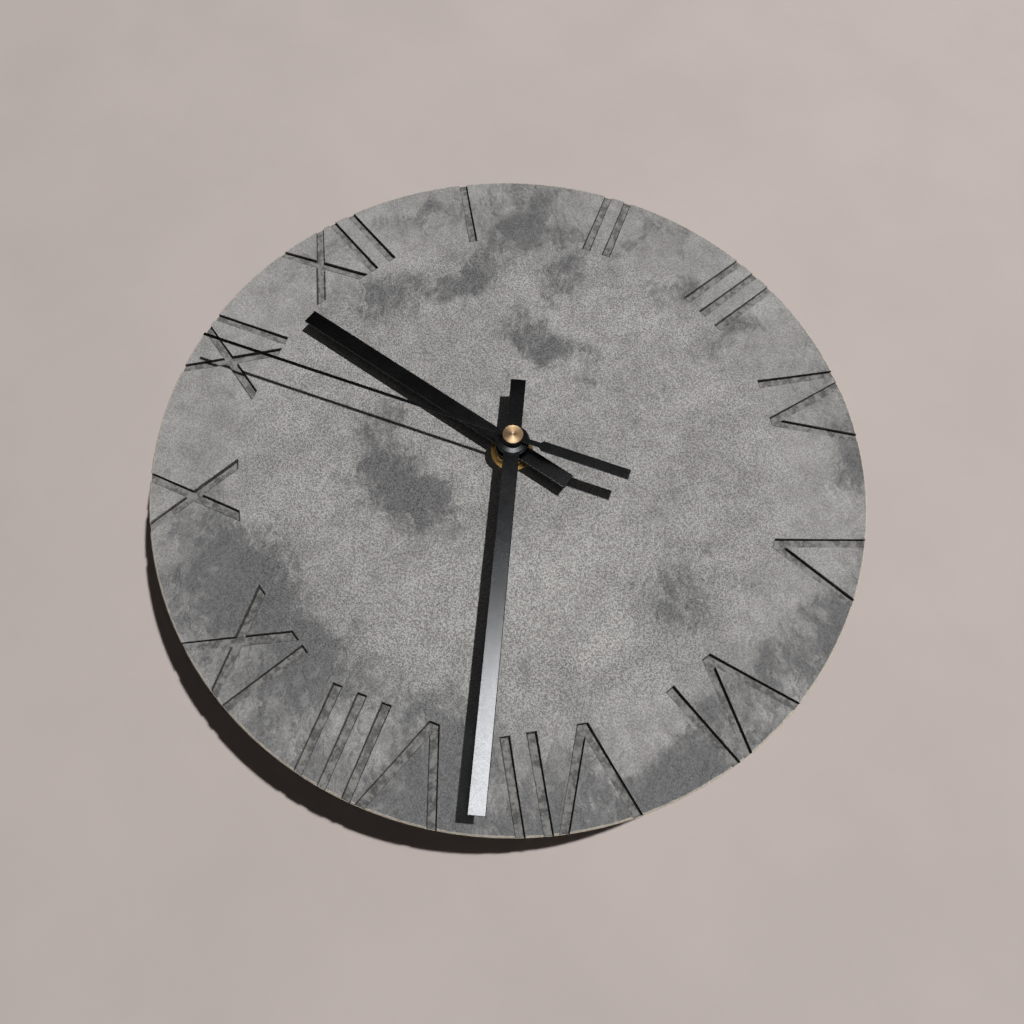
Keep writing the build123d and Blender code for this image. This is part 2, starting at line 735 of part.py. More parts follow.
# ================================================================ stepping motor
stator_bore = magnet_radius + stator_gap
stator_outer = stator_bore + stator_ring
with BuildPart() as stator:
    with BuildSketch(Plane.XZ.offset(stator_rear)):
        with Locations(rotor_at):
            Circle(stator_outer)
        with Locations((rotor_at[0], rotor_at[1] + stator_outer / 2)):
            Rectangle(2 * lug_offset + core_lug_width, stator_outer)
        for at in lug_places:
            with Locations((at[0], (at[1] + rotor_at[1]) / 2)):
                Rectangle(core_lug_width, at[1] - rotor_at[1] + core_lug_width)
        with Locations(rotor_at):
            Circle(stator_bore, mode=Mode.SUBTRACT)
        with Locations(*lug_places):
            Circle(peg_radius, mode=Mode.SUBTRACT)
    extrude(amount=stator_thickness)
stator.part.label = "stator"
export_step(stator.part, "parts/stator.step")

with BuildPart() as coil_core:
    with BuildSketch(Plane.XZ.offset(core_rear)):
        with Locations(coil_at):
            Rectangle(2 * lug_offset, core_width)
        with Locations(*lug_places):
            Rectangle(core_lug_length, core_lug_width)
            Circle(peg_radius, mode=Mode.SUBTRACT)
    extrude(amount=stator_thickness)
coil_core.part.label = "coil_core"
export_step(coil_core.part, "parts/coil_core.step")

coil_axis_rear = core_rear + stator_thickness / 2
coil_left = coil_at[0] - coil_length / 2


def add_spool(left, length, radius):
    """Adds a round section of the coil, along X about the coil's axis."""
    with BuildSketch(Plane.YZ.offset(left)) as section:
        with Locations((-coil_axis_rear, coil_at[1])):
            Circle(radius)
    extrude(section.sketch, amount=length)


with BuildPart() as coil_bobbin:
    add_spool(coil_left, coil_length, coil_tube_radius)
    add_spool(coil_left, coil_flange, coil_flange_radius)
    add_spool(coil_left + coil_length - coil_flange, coil_flange, coil_flange_radius)
    with BuildSketch(Plane.YZ.offset(coil_left)) as core_slot:
        with Locations((-coil_axis_rear, coil_at[1])):
            Rectangle(stator_thickness, core_width)
    extrude(core_slot.sketch, amount=coil_length, mode=Mode.SUBTRACT)
coil_bobbin.part.label = "coil_bobbin"
export_step(coil_bobbin.part, "parts/coil_bobbin.step")

with BuildPart() as coil_winding:
    add_spool(coil_left + coil_flange, coil_length - 2 * coil_flange, coil_radius)
    with BuildSketch(Plane.YZ.offset(coil_left)) as winding_bore:
        with Locations((-coil_axis_rear, coil_at[1])):
            Circle(coil_tube_radius)
    extrude(winding_bore.sketch, amount=coil_length, mode=Mode.SUBTRACT)
coil_winding.part.label = "coil_winding"
export_step(coil_winding.part, "parts/coil_winding.step")

# ================================================================ gear train
third_phase = meshing_phase(third_wheel_teeth, third_at, wheel_pinion_teeth, centre)
centre_phase = meshing_phase(centre_wheel_teeth, centre, wheel_pinion_teeth, third_at)
fifth_pinion_phase = meshing_phase(wheel_pinion_teeth, fifth_at, second_wheel_teeth, centre)
rotor_phase = meshing_phase(wheel_pinion_teeth, rotor_at, fifth_wheel_teeth, fifth_at)
motion_phase = meshing_phase(motion_wheel_teeth, motion_at, cannon_teeth, centre)
hour_phase = meshing_phase(hour_wheel_teeth, centre, motion_pinion_teeth, motion_at)
setting_phase = meshing_phase(setting_teeth, setting_at, motion_wheel_teeth, motion_at, motion_phase)
driving_pinion_length = level_pitch + pinion_overlap
wide_pinion_length = wheel_thickness + 2 * pinion_overlap


def add_arbor(at, rear, front, radius=pivot_radius):
    """Adds a round arbor from a rear to a front distance."""
    add_disc(at, rear, front - rear, radius)


with BuildPart() as rotor_magnet:
    add_disc(rotor_at, level(1), magnet_thickness, magnet_radius)
    add_disc(rotor_at, level(1), magnet_thickness, pivot_radius, Mode.SUBTRACT)
rotor_magnet.part.label = "rotor_magnet"
export_step(rotor_magnet.part, "parts/rotor_magnet.step")

with BuildPart() as rotor_pinion:
    add_arbor(rotor_at, pivot_rear, train_plate_front)
    add_gear(
        rotor_at,
        level(0) - pinion_overlap,
        wide_pinion_length,
        pinion_outline(wheel_pinion_teeth, rotor_module),
        rotor_phase,
    )
rotor_pinion.part.label = "rotor_pinion"
export_step(rotor_pinion.part, "parts/rotor_pinion.step")

with BuildPart() as fifth_wheel:
    add_arbor(fifth_at, pivot_rear, train_plate_front)
    add_gear(fifth_at, level(0), wheel_thickness, wheel_outline(fifth_wheel_teeth, rotor_module))
    add_gear(
        fifth_at,
        level(0) + wheel_thickness,
        driving_pinion_length,
        pinion_outline(wheel_pinion_teeth, second_module),
        fifth_pinion_phase,
    )
fifth_wheel.part.label = "fifth_wheel"
export_step(fifth_wheel.part, "parts/fifth_wheel.step")

with BuildPart() as second_wheel:
    add_gear(centre, level(1), wheel_thickness, wheel_outline(second_wheel_teeth, second_module))
    add_gear(
        centre,
        level(1) + wheel_thickness,
        driving_pinion_length,
        pinion_outline(wheel_pinion_teeth, third_module),
    )
    second_wheel_length = wheel_thickness + driving_pinion_length
    add_disc(centre, level(1), second_wheel_length, second_shaft_radius, Mode.SUBTRACT)
second_wheel.part.label = "second_wheel"
export_step(second_wheel.part, "parts/second_wheel.step")

with BuildPart() as second_arbor:
    add_arbor(centre, pivot_rear, second_hand_rear, second_shaft_radius)
second_arbor.part.label = "second_arbor"
export_step(second_arbor.part, "parts/second_arbor.step")

with BuildPart() as third_wheel:
    add_arbor(third_at, pivot_rear, train_plate_front)
    add_gear(
        third_at,
        level(2),
        wheel_thickness,
        wheel_outline(third_wheel_teeth, third_module),
        third_phase,
    )
    add_gear(
        third_at,
        level(2) + wheel_thickness,
        driving_pinion_length,
        pinion_outline(wheel_pinion_teeth, centre_module),
    )
third_wheel.part.label = "third_wheel"
export_step(third_wheel.part, "parts/third_wheel.step")

with BuildPart() as centre_wheel:
    add_gear(
        centre,
        level(3),
        wheel_thickness,
        wheel_outline(centre_wheel_teeth, centre_module),
        centre_phase,
    )
    add_disc(centre, level(3), wheel_thickness, minute_shaft_radius + running_gap, Mode.SUBTRACT)
centre_wheel.part.label = "centre_wheel"
export_step(centre_wheel.part, "parts/centre_wheel.step")

# The clutch spring presses the centre wheel forward on the minute arbor, so
# that the hands can be set while the wheel stands still.
spring_rear = level(3) - running_gap - clutch_spring_thickness
with BuildPart() as clutch_spring:
    add_ring(spring_rear, clutch_spring_thickness, minute_shaft_radius, clutch_spring_radius)
clutch_spring.part.label = "clutch_spring"
export_step(clutch_spring.part, "parts/clutch_spring.step")

cannon_rear = motion_level(0) - pinion_overlap
with BuildPart() as minute_arbor:
    arbor_rear = spring_rear - clutch_flange_thickness
    add_disc(centre, arbor_rear, clutch_flange_thickness, clutch_flange_radius)
    add_arbor(centre, arbor_rear, minute_shaft_front, minute_shaft_radius)
    add_gear(
        centre,
        cannon_rear,
        wide_pinion_length,
        pinion_outline(cannon_teeth, motion_module),
    )
    add_disc(
        centre,
        arbor_rear,
        minute_shaft_front - arbor_rear,
        second_shaft_radius + running_gap,
        Mode.SUBTRACT,
    )
minute_arbor.part.label = "minute_arbor"
export_step(minute_arbor.part, "parts/minute_arbor.step")

with BuildPart() as motion_wheel:
    add_arbor(motion_at, train_plate_rear, case_rear_depth - running_gap)
    add_gear(
        motion_at,
        motion_level(0),
        wheel_thickness,
        wheel_outline(motion_wheel_teeth, motion_module),
        motion_phase,
    )
    add_gear(
        motion_at,
        motion_level(0) + wheel_thickness,
        driving_pinion_length,
        pinion_outline(motion_pinion_teeth, hour_module),
    )
motion_wheel.part.label = "motion_wheel"
export_step(motion_wheel.part, "parts/motion_wheel.step")

with BuildPart() as hour_wheel:
    add_gear(
        centre,
        motion_level(1),
        wheel_thickness,
        wheel_outline(hour_wheel_teeth, hour_module),
        hour_phase,
    )
    add_arbor(centre, motion_level(1), hour_tube_front, hour_tube_radius)
    add_disc(
        centre,
        motion_level(1),
        hour_tube_front - motion_level(1),
        minute_shaft_radius + running_gap,
        Mode.SUBTRACT,
    )
hour_wheel.part.label = "hour_wheel"
export_step(hour_wheel.part, "parts/hour_wheel.step")

with BuildPart() as setting_pinion:
    add_gear(
        setting_at,
        cannon_rear,
        wide_pinion_length,
        pinion_outline(setting_teeth, motion_module),
        setting_phase,
    )
    add_disc(setting_at, cannon_rear, wide_pinion_length, knob_shaft_radius, Mode.SUBTRACT)
setting_pinion.part.label = "setting_pinion"
export_step(setting_pinion.part, "parts/setting_pinion.step")

with BuildPart() as setting_knob:
    with BuildSketch(Plane.XZ.offset(knob_recess)):
        with Locations(setting_at):
            Circle(knob_radius)
            with PolarLocations(knob_radius, knob_flutes):
                Circle(knob_flute_radius, mode=Mode.SUBTRACT)
    extrude(amount=knob_thickness)
    shaft_front = motion_level(0) + wheel_thickness + boss_to_wheel + knob_pivot_length
    add_arbor(setting_at, knob_recess, shaft_front, knob_shaft_radius)
setting_knob.part.label = "setting_knob"
export_step(setting_knob.part, "parts/setting_knob.step")


# ================================================================ hands
def baton(angle, reach, tail, width, rear, hole_radius):
    """Flat baton hand with a round eye, chamfered along its front edges."""
    with BuildSketch(Plane.XZ.offset(rear)) as outline:
        with Locations(Rot(0, 0, -angle)):
            with Locations((0, (reach - tail) / 2)):
                Rectangle(width, reach + tail)
        Circle(hand_eye_radius)
        Circle(hole_radius, mode=Mode.SUBTRACT)
    extrude(outline.sketch, amount=hand_thickness)


hour_neck_radius = hour_tube_radius + collet_neck
minute_neck_radius = minute_shaft_radius + collet_neck

with BuildPart() as hour_hand:
    baton(
        hour_hand_angle,
        hour_hand_reach,
        hour_hand_tail,
        hour_hand_width,
        hour_hand_rear,
        hour_neck_radius,
    )
    chamfer(hour_hand.faces().sort_by(Axis.Y)[0].edges(), hand_edge_chamfer)
hour_hand.part.label = "hour_hand"
export_step(hour_hand.part, "parts/hour_hand.step")

with BuildPart() as minute_hand:
    baton(
        minute_hand_angle,
        minute_hand_reach,
        minute_hand_tail,
        minute_hand_width,
        minute_hand_rear,
        minute_neck_radius,
    )
    chamfer(minute_hand.faces().sort_by(Axis.Y)[0].edges(), hand_edge_chamfer)
minute_hand.part.label = "minute_hand"
export_step(minute_hand.part, "parts/minute_hand.step")

# Each collet is a turned tube, staked through the eye of its hand.
with BuildPart() as hour_collet:
    collet_rear = bush_front + hour_collet_to_bush
    add_disc(centre, collet_rear, hour_hand_rear - collet_rear, hour_collet_radius)
    add_disc(centre, hour_hand_rear, hand_thickness, hour_neck_radius)
    add_disc(centre, hour_hand_front, collet_rivet, hour_collet_radius)
    add_disc(centre, collet_rear, hour_tube_front - collet_rear, hour_tube_radius, Mode.SUBTRACT)
hour_collet.part.label = "hour_collet"
export_step(hour_collet.part, "parts/hour_collet.step")

with BuildPart() as minute_collet:
    with BuildSketch(Plane.YZ):
        with BuildLine():
            Polyline(
                (-minute_hand_rear + minute_collet_length, minute_shaft_radius),
                (-minute_hand_rear + minute_collet_length, minute_collet_radius),
                (-minute_hand_rear, minute_collet_radius),
                (-minute_hand_rear, minute_neck_radius),
                (-minute_hand_front, minute_neck_radius),
                (-minute_hand_front, minute_boss_radius),
                (-minute_hand_front - minute_boss_height, minute_boss_radius - cone_slope),
                (-minute_hand_front - minute_boss_height, minute_shaft_radius),
                close=True,
            )
        make_face()
    revolve(axis=Axis.Y)
minute_collet.part.label = "minute_collet"
export_step(minute_collet.part, "parts/minute_collet.step")

with BuildPart() as second_hand:
    with BuildSketch(Plane.XZ.offset(second_hand_rear)):
        with Locations(Rot(0, 0, -second_hand_angle)):
            with Locations((0, second_hand_reach / 2)):
                Rectangle(second_needle_width, second_hand_reach)
            with Locations((0, -counterweight_start / 2)):
                Rectangle(second_neck_width, counterweight_start)
            Polygon(
                (-second_neck_width / 2, -counterweight_start),
                (second_neck_width / 2, -counterweight_start),
                (counterweight_width / 2, -counterweight_start - counterweight_shoulder),
                (counterweight_width / 2, -second_hand_tail),
                (-counterweight_width / 2, -second_hand_tail),
                (-counterweight_width / 2, -counterweight_start - counterweight_shoulder),
                align=None,
            )
        Circle(second_hub_radius)
        Circle(spigot_radius, mode=Mode.SUBTRACT)
    extrude(amount=second_hand_thickness)
second_hand.part.label = "second_hand"
export_step(second_hand.part, "parts/second_hand.step")

with BuildPart() as second_hub:
    add_disc(centre, second_hub_rear, second_hub_height, second_hub_radius)
    add_disc(centre, second_hand_rear, second_hand_thickness + spigot_in_top, spigot_radius)
    add_disc(centre, second_hub_rear, second_hub_height, second_shaft_radius, Mode.SUBTRACT)
second_hub.part.label = "second_hub"
export_step(second_hub.part, "parts/second_hub.step")

cap_rear = second_top_front + cap_standing - cap_thickness
with BuildPart() as second_hub_top:
    add_disc(centre, second_top_rear, second_top_height, second_hub_radius)
    add_disc(centre, second_top_rear, spigot_in_top, spigot_radius, Mode.SUBTRACT)
    add_disc(centre, cap_rear, cap_thickness, cap_radius, Mode.SUBTRACT)
second_hub_top.part.label = "second_hub_top"
export_step(second_hub_top.part, "parts/second_hub_top.step")

with BuildPart() as brass_cap:
    add_disc(centre, cap_rear, cap_thickness, cap_radius)
brass_cap.part.label = "brass_cap"
export_step(brass_cap.part, "parts/brass_cap.step")
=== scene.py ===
import logging
import math
from dataclasses import dataclass
from enum import Enum
from typing import Callable

import bpy
import numpy as np
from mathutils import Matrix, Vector


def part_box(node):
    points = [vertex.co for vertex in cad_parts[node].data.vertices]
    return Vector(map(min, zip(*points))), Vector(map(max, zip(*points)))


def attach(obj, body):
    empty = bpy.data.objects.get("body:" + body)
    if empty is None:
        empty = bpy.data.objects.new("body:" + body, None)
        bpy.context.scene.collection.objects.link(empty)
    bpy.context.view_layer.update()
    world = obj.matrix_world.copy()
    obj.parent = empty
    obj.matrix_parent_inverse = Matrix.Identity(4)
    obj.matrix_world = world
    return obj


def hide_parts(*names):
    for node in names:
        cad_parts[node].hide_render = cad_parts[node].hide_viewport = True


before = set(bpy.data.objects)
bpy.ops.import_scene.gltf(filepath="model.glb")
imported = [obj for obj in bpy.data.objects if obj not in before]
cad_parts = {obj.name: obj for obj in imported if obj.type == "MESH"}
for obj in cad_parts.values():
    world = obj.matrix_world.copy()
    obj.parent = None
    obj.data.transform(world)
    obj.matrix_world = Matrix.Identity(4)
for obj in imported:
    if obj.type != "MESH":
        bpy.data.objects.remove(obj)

# A round wall clock: a cast stone dial with sunk numerals, black baton hands on
# a turned hub, and a battery movement behind. Metres, X to the right, Z up to
# XII, the dial faces -Y, and the wall is the plane Y = 0.

Triple = tuple[float, float, float]
Profile = tuple[tuple[float, float], ...]
Wires = dict[str, "Wire"]

log = logging.getLogger("wall_clock")
MM = 0.001
MERGE = 0.002 * MM
FLAT_WITHIN = math.radians(0.4)
SMOOTH_UNDER = math.radians(9.0)
ORIGIN = (0.0, 0.0, 0.0)
GREY = (0.5, 0.5, 0.5)


# --- node sheets
def arithmetic(operation: str, swapped: bool = False) -> Callable[["Wire", "Wire | float"], "Wire"]:
    """Makes a method of Wire that places a Math node.

    Args:
        operation: The node's operation.
        swapped: Whether the other value comes first.

    Returns:
        The method.
    """

    def place(self: "Wire", other: "Wire | float") -> "Wire":
        """Places the node."""
        return self.sheet.math(operation, *((other, self) if swapped else (self, other)))

    return place


class Wire:
    """A value on a node sheet. Arithmetic on it places Math nodes."""

    __add__ = arithmetic("ADD")
    __sub__ = arithmetic("SUBTRACT")
    __rsub__ = arithmetic("SUBTRACT", swapped=True)
    __mul__ = arithmetic("MULTIPLY")
    __truediv__ = arithmetic("DIVIDE")
    __rtruediv__ = arithmetic("DIVIDE", swapped=True)

    def __init__(self, sheet: "NodeSheet", socket: bpy.types.NodeSocket) -> None:
        """Holds an output of one of the sheet's nodes."""
        self.sheet = sheet
        self.socket = socket


class NodeSheet:
    """Places nodes on one node tree, in rows, and joins them. Here is where its patterns lie."""

    here: Wire
    per_row = 14
    column, row = 190, -260

    def __init__(self, tree: bpy.types.NodeTree) -> None:
        """Starts on an empty tree."""
        self.tree = tree
        self.placed = 0

    def add(self, kind: str, feeds: dict | None = None, **settings: object) -> bpy.types.Node:
        """Adds one node.

        Args:
            kind: The node's type name, such as "ShaderNodeMath".
            feeds: Values or wires for its inputs, by input name or number.
            **settings: Properties set on the node before its inputs are fed.

        Returns:
            The new node.
        """
        node = self.tree.nodes.new(kind)
        row, column = divmod(self.placed, self.per_row)
        node.location = (self.column * column, self.row * row)
        self.placed += 1
        for name, value in settings.items():
            setattr(node, name, value)
        for key, value in (feeds or {}).items():
            self.feed(node.inputs[key], value)
        return node

    def wire(
        self, kind: str, output: str | int, feeds: dict | None = None, **settings: object
    ) -> Wire:
        """Adds one node, as add does, and gives one of its outputs by name or number."""
        return Wire(self, self.add(kind, feeds, **settings).outputs[output])

    def feed(self, socket: bpy.types.NodeSocket, value: object) -> None:
        """Joins a wire to an input, or sets the input's own value.

        Args:
            socket: The input.
            value: A wire or socket to join, or a plain value.
        """
        value = getattr(value, "socket", value)
        if isinstance(value, bpy.types.NodeSocket):
            self.tree.links.new(value, socket)
        elif socket.type == "RGBA":
            socket.default_value = (*value[:3], 1.0)
        else:
            socket.default_value = value

    def math(self, operation: str, *values: object, clamp: bool = False) -> Wire:
        """Adds a Math node, fed in order, and gives its result."""
        feeds = dict(enumerate(values))
        return self.wire("ShaderNodeMath", 0, feeds, operation=operation, use_clamp=clamp)

    def vector(self, operation: str, *values: object, output: str = "Vector") -> Wire:
        """Adds a Vector Math node, fed in order, and gives its vector or its value."""
        feeds = dict(enumerate(values))
        return self.wire("ShaderNodeVectorMath", output, feeds, operation=operation)

    def scaled(self, colour: object, factor: Wire) -> Wire:
        """Multiplies a colour by a tone."""
        return self.wire("ShaderNodeVectorMath", 0, {0: colour, "Scale": factor}, operation="SCALE")

    def blend(self, share: Wire, first: object, second: object) -> Wire:
        """Lays a second colour over a first one by a share from 0 to 1."""
        return self.wire("ShaderNodeMix", 2, {0: share, 6: first, 7: second}, data_type="RGBA")

    def hypot(self, first: Wire, second: Wire) -> Wire:
        """The length of two legs at a right angle."""
        return self.math("SQRT", first * first + second * second)

    def ease(
        self, value: Wire, start: float, end: float, low: float = 0.0, high: float = 1.0
    ) -> Wire:
        """Maps a value smoothly from one range to another.

        Args:
            value: The value.
            start: Where the result is low.
            end: Where the result is high.
            low: The result at start and before.
            high: The result at end and after.

        Returns:
            The eased value.
        """
        feeds = {"Value": value, "From Min": start, "From Max": end}
        feeds |= {"To Min": low, "To Max": high}
        return self.wire("ShaderNodeMapRange", "Result", feeds, interpolation_type="SMOOTHSTEP")

    def noise(
        self, place: Wire, size: object, detail: float = 3.0, rough: float = 0.55, output: int = 0
    ) -> Wire:
        """Adds a noise whose features have a given size.

        Args:
            place: The coordinates, in metres.
            size: Metres from one feature to the next.
            detail: How many finer layers it has.
            rough: How strong the finer layers are.
            output: 0 for its value, 1 for its colour.

        Returns:
            The noise.
        """
        feeds = {"Vector": place, "Scale": 1.0 / size, "Detail": detail, "Roughness": rough}
        return self.wire("ShaderNodeTexNoise", output, feeds)

    def split(self, place: Wire) -> tuple[Wire, ...]:
        """Separates a vector into X, Y and Z."""
        node = self.add("ShaderNodeSeparateXYZ", {0: place})
        return tuple(Wire(self, output) for output in node.outputs)

    def mapped(self, place: Wire, centre: object, turn: object, spread: object) -> Wire:
        """Moves a pattern to a centre, turns it and stretches it.

        Args:
            place: The coordinates.
            centre: The pattern's centre.
            turn: Its turn about the three axes.
            spread: Its size along its own three axes.

        Returns:
            The pattern's own coordinates.
        """
        feeds = {"Vector": place, "Location": centre, "Rotation": turn, "Scale": spread}
        return self.wire("ShaderNodeMapping", 0, feeds, vector_type="TEXTURE")


def blank(
    holder: bpy.types.Material | bpy.types.World, output: str = "ShaderNodeOutputMaterial"
) -> tuple[NodeSheet, bpy.types.Node]:
    """Clears the nodes of a new material or world.

    Args:
        holder: The material or world.
        output: The type of its output node.

    Returns:
        Its sheet and its output node.
    """
    holder.use_nodes = True
    holder.node_tree.nodes.clear()
    sheet = NodeSheet(holder.node_tree)
    return sheet, sheet.add(output)


# --- effects
class Effect:
    """A shader node group, drawn once and laid on each material with its own values."""

    def __init__(self, draw: Callable[..., Wires], starts: dict[str, object]) -> None:
        """Prepares the effect, and leaves its tree for its first use.

        Args:
            draw: The function that draws the group.
            starts: What its inputs start from, by name, besides its place.
        """
        self.draw = draw
        self.starts = {"place": ORIGIN} | starts
        self.tree: bpy.types.NodeTree | None = None

    def build(self) -> None:
        """Draws the group's tree. An input that starts from three numbers is a vector."""
        self.tree = bpy.data.node_groups.new(self.draw.__name__, "ShaderNodeTree")
        sockets = self.tree.interface
        for name, start in self.starts.items():
            kind = "NodeSocketFloat" if isinstance(start, float) else "NodeSocketVector"
            sockets.new_socket(name, in_out="INPUT", socket_type=kind).default_value = start
        sheet = NodeSheet(self.tree)
        entry = sheet.add("NodeGroupInput")
        drawn = self.draw(sheet, *(Wire(sheet, entry.outputs[name]) for name in self.starts))
        for name in drawn:
            sockets.new_socket(name, in_out="OUTPUT", socket_type="NodeSocketFloat")
        sheet.add("NodeGroupOutput", drawn)

    def __call__(self, sheet: NodeSheet, **values: object) -> Wires:
        """Lays the effect on a material.

        Args:
            sheet: The material's sheet.
            **values: Wires or values for its inputs. Its place is the sheet's own unless given.

        Returns:
            The group's outputs, by name.
        """
        if self.tree is None:
            self.build()
        node = sheet.add("ShaderNodeGroup", {"place": sheet.here} | values, node_tree=self.tree)
        return {output.name: Wire(sheet, output) for output in node.outputs}


def effect(**starts: object) -> Callable[[Callable[..., Wires]], Effect]:
    """Makes an effect of the function that draws it, given what its inputs start from."""
    return lambda draw: Effect(draw, starts)


@effect(centre=ORIGIN, turn=ORIGIN, spread=ORIGIN, depth=1.0)
def smudge(
    sheet: NodeSheet, place: Wire, centre: Wire, turn: Wire, spread: Wire, depth: Wire
) -> Wires:
    """One soft oval patch that fades out at its border."""
    reach = sheet.vector("LENGTH", sheet.mapped(place, centre, turn, spread), output="Value")
    return {"mask": sheet.ease(reach, 1.25, 0.2) * depth}


@effect(size=0.02, contrast=0.2)
def mottle(sheet: NodeSheet, place: Wire, size: Wire, contrast: Wire) -> Wires:
    """Clouds on stone, plated steel and handled surfaces: a tone about 1, and a mask."""
    mask = sheet.ease(sheet.noise(place, size, 5.0, 0.6), 0.32, 0.68)
    return {"tone": (mask - 0.5) * contrast + 1.0, "mask": mask}


@effect(size=0.001)
def grain(sheet: NodeSheet, place: Wire, size: Wire) -> Wires:
    """Fine irregular grain, coarse and fine in equal parts, as height and as flecks of tone."""
    both = sheet.noise(place, size, 1.0) * 0.5 + sheet.noise(place, size * 0.55, 0.0) * 0.5
    return {"height": both, "tone": sheet.ease(both, 0.36, 0.64, -1.0, 1.0)}


@effect(turn=ORIGIN, spread=(0.01, 0.001, 0.001))
def streaks(sheet: NodeSheet, place: Wire, turn: Wire, spread: Wire) -> Wires:
    """Long lines in one direction, for brushed metal and trowelled stone."""
    lines = sheet.noise(sheet.mapped(place, ORIGIN, turn, spread), 1.0, 3.0, 0.6)
    return {"height": lines, "tone": sheet.ease(lines, 0.3, 0.7, -1.0, 1.0)}


@effect(centre=ORIGIN, pitch=0.0002)
def lathe_lines(sheet: NodeSheet, place: Wire, centre: Wire, pitch: Wire) -> Wires:
    """Tool lines round an axis along Y, as on a turned face or rim.

    Args:
        sheet: The group's sheet.
        place: The coordinates.
        centre: A point on the axis.
        pitch: The distance from line to line, out from the axis and along it.

    Returns:
        The lines as height and as tone.
    """
    x, y, z = sheet.split(sheet.vector("SUBTRACT", place, centre))
    feeds = {"W": (sheet.hypot(x, z) + y) / pitch, "Scale": 1.0, "Detail": 3.0}
    lines = sheet.wire("ShaderNodeTexNoise", 0, feeds, noise_dimensions="1D")
    return {"height": lines, "tone": sheet.ease(lines, 0.3, 0.7, -1.0, 1.0)}


@effect(size=0.004, share=0.3)
def pores(sheet: NodeSheet, place: Wire, size: Wire, share: Wire) -> Wires:
    """Scattered small pits of uneven size.

    Args:
        sheet: The group's sheet.
        place: The coordinates.
        size: The size of the cells that may hold a pit each.
        share: The share of the cells that do.

    Returns:
        The mask of the pits.
    """
    cells = sheet.add("ShaderNodeTexVoronoi", {"Vector": place, "Scale": 1.0 / size})
    draw_lot, size_lot, _ = sheet.split(cells.outputs["Color"])
    gap = Wire(sheet, cells.outputs["Distance"]) / (size_lot * 0.16)
    pit = sheet.math("POWER", sheet.math("SUBTRACT", 1.0, gap, clamp=True), 0.5)
    return {"mask": pit * sheet.math("LESS_THAN", draw_lot, share)}


@effect(edge=0.0, size=0.002)
def edge_wear_and_shade_mask(sheet: NodeSheet, place: Wire, edge: Wire, size: Wire) -> Wires:
    """An uneven mask where an edge mask is high: wear on chipped arrises, and painted shade in groove
    corners.
    """
    chance = sheet.noise(place, size, 4.0, 0.65)
    return {"mask": sheet.ease(edge + chance * 0.9, 0.62, 1.15)}


# --- finishes
@dataclass(frozen=True)
class Coat:
    """What a finish paints on its shader. Metal is given only where it varies."""

    colour: Wire
    roughness: Wire
    relief: Wire
    metal: Wire | None = None


@dataclass(frozen=True)
class Finish:
    """A finish of the clock: its plain numbers, and a coat of nodes over them."""

    colour: Triple = GREY
    roughness: float = 0.5
    metallic: float = 0.0
    specular: float = 0.5
    depth: float = 0.00001
    spread: float = 0.0

    def coat(self, sheet: NodeSheet, **fit: object) -> Coat:
        """Paints the finish.

        Args:
            sheet: The material's sheet.
            **fit: What the finish has to know about its piece.

        Returns:
            The coat.
        """
        raise NotImplementedError

    def material(self, name: str, **fit: object) -> bpy.types.Material:
        """Builds a material with this finish.

        Args:
            name: The material's name.
            **fit: What the finish has to know about its piece.

        Returns:
            The material.
        """
        material = bpy.data.materials.new(name)
        sheet, output = blank(material)
        feeds = {"Metallic": self.metallic, "Specular IOR Level": self.specular}
        shader = sheet.add("ShaderNodeBsdfPrincipled", feeds)
        sheet.feed(output.inputs["Surface"], shader.outputs[0])
        sheet.here = sheet.wire("ShaderNodeTexCoord", "Object")
        coat = self.coat(sheet, **fit)
        bump = sheet.wire("ShaderNodeBump", 0, {"Height": coat.relief, "Distance": self.depth})
        painted = {"Base Color": coat.colour, "Roughness": coat.roughness, "Normal": bump}
        if coat.metal is not None:
            painted["Metallic"] = coat.metal
        if self.spread:
            shader.inputs["Anisotropic"].default_value = self.spread
            shader.inputs["Anisotropic Rotation"].default_value = 0.25
            painted["Tangent"] = sheet.wire("ShaderNodeTangent", 0, direction_type="RADIAL", axis="Y")
        for key, value in painted.items():
            sheet.feed(shader.inputs[key], value)
        return material


@dataclass(frozen=True)
class Patch:
    """A patch of the dial where the stone is burnished darker, or rubbed lighter and partly painted with
    a sheen, in mm and degrees.
    """

    x: float
    z: float
    wide: float
    tall: float
    depth: float = 1.0
    turn: float = 0.0


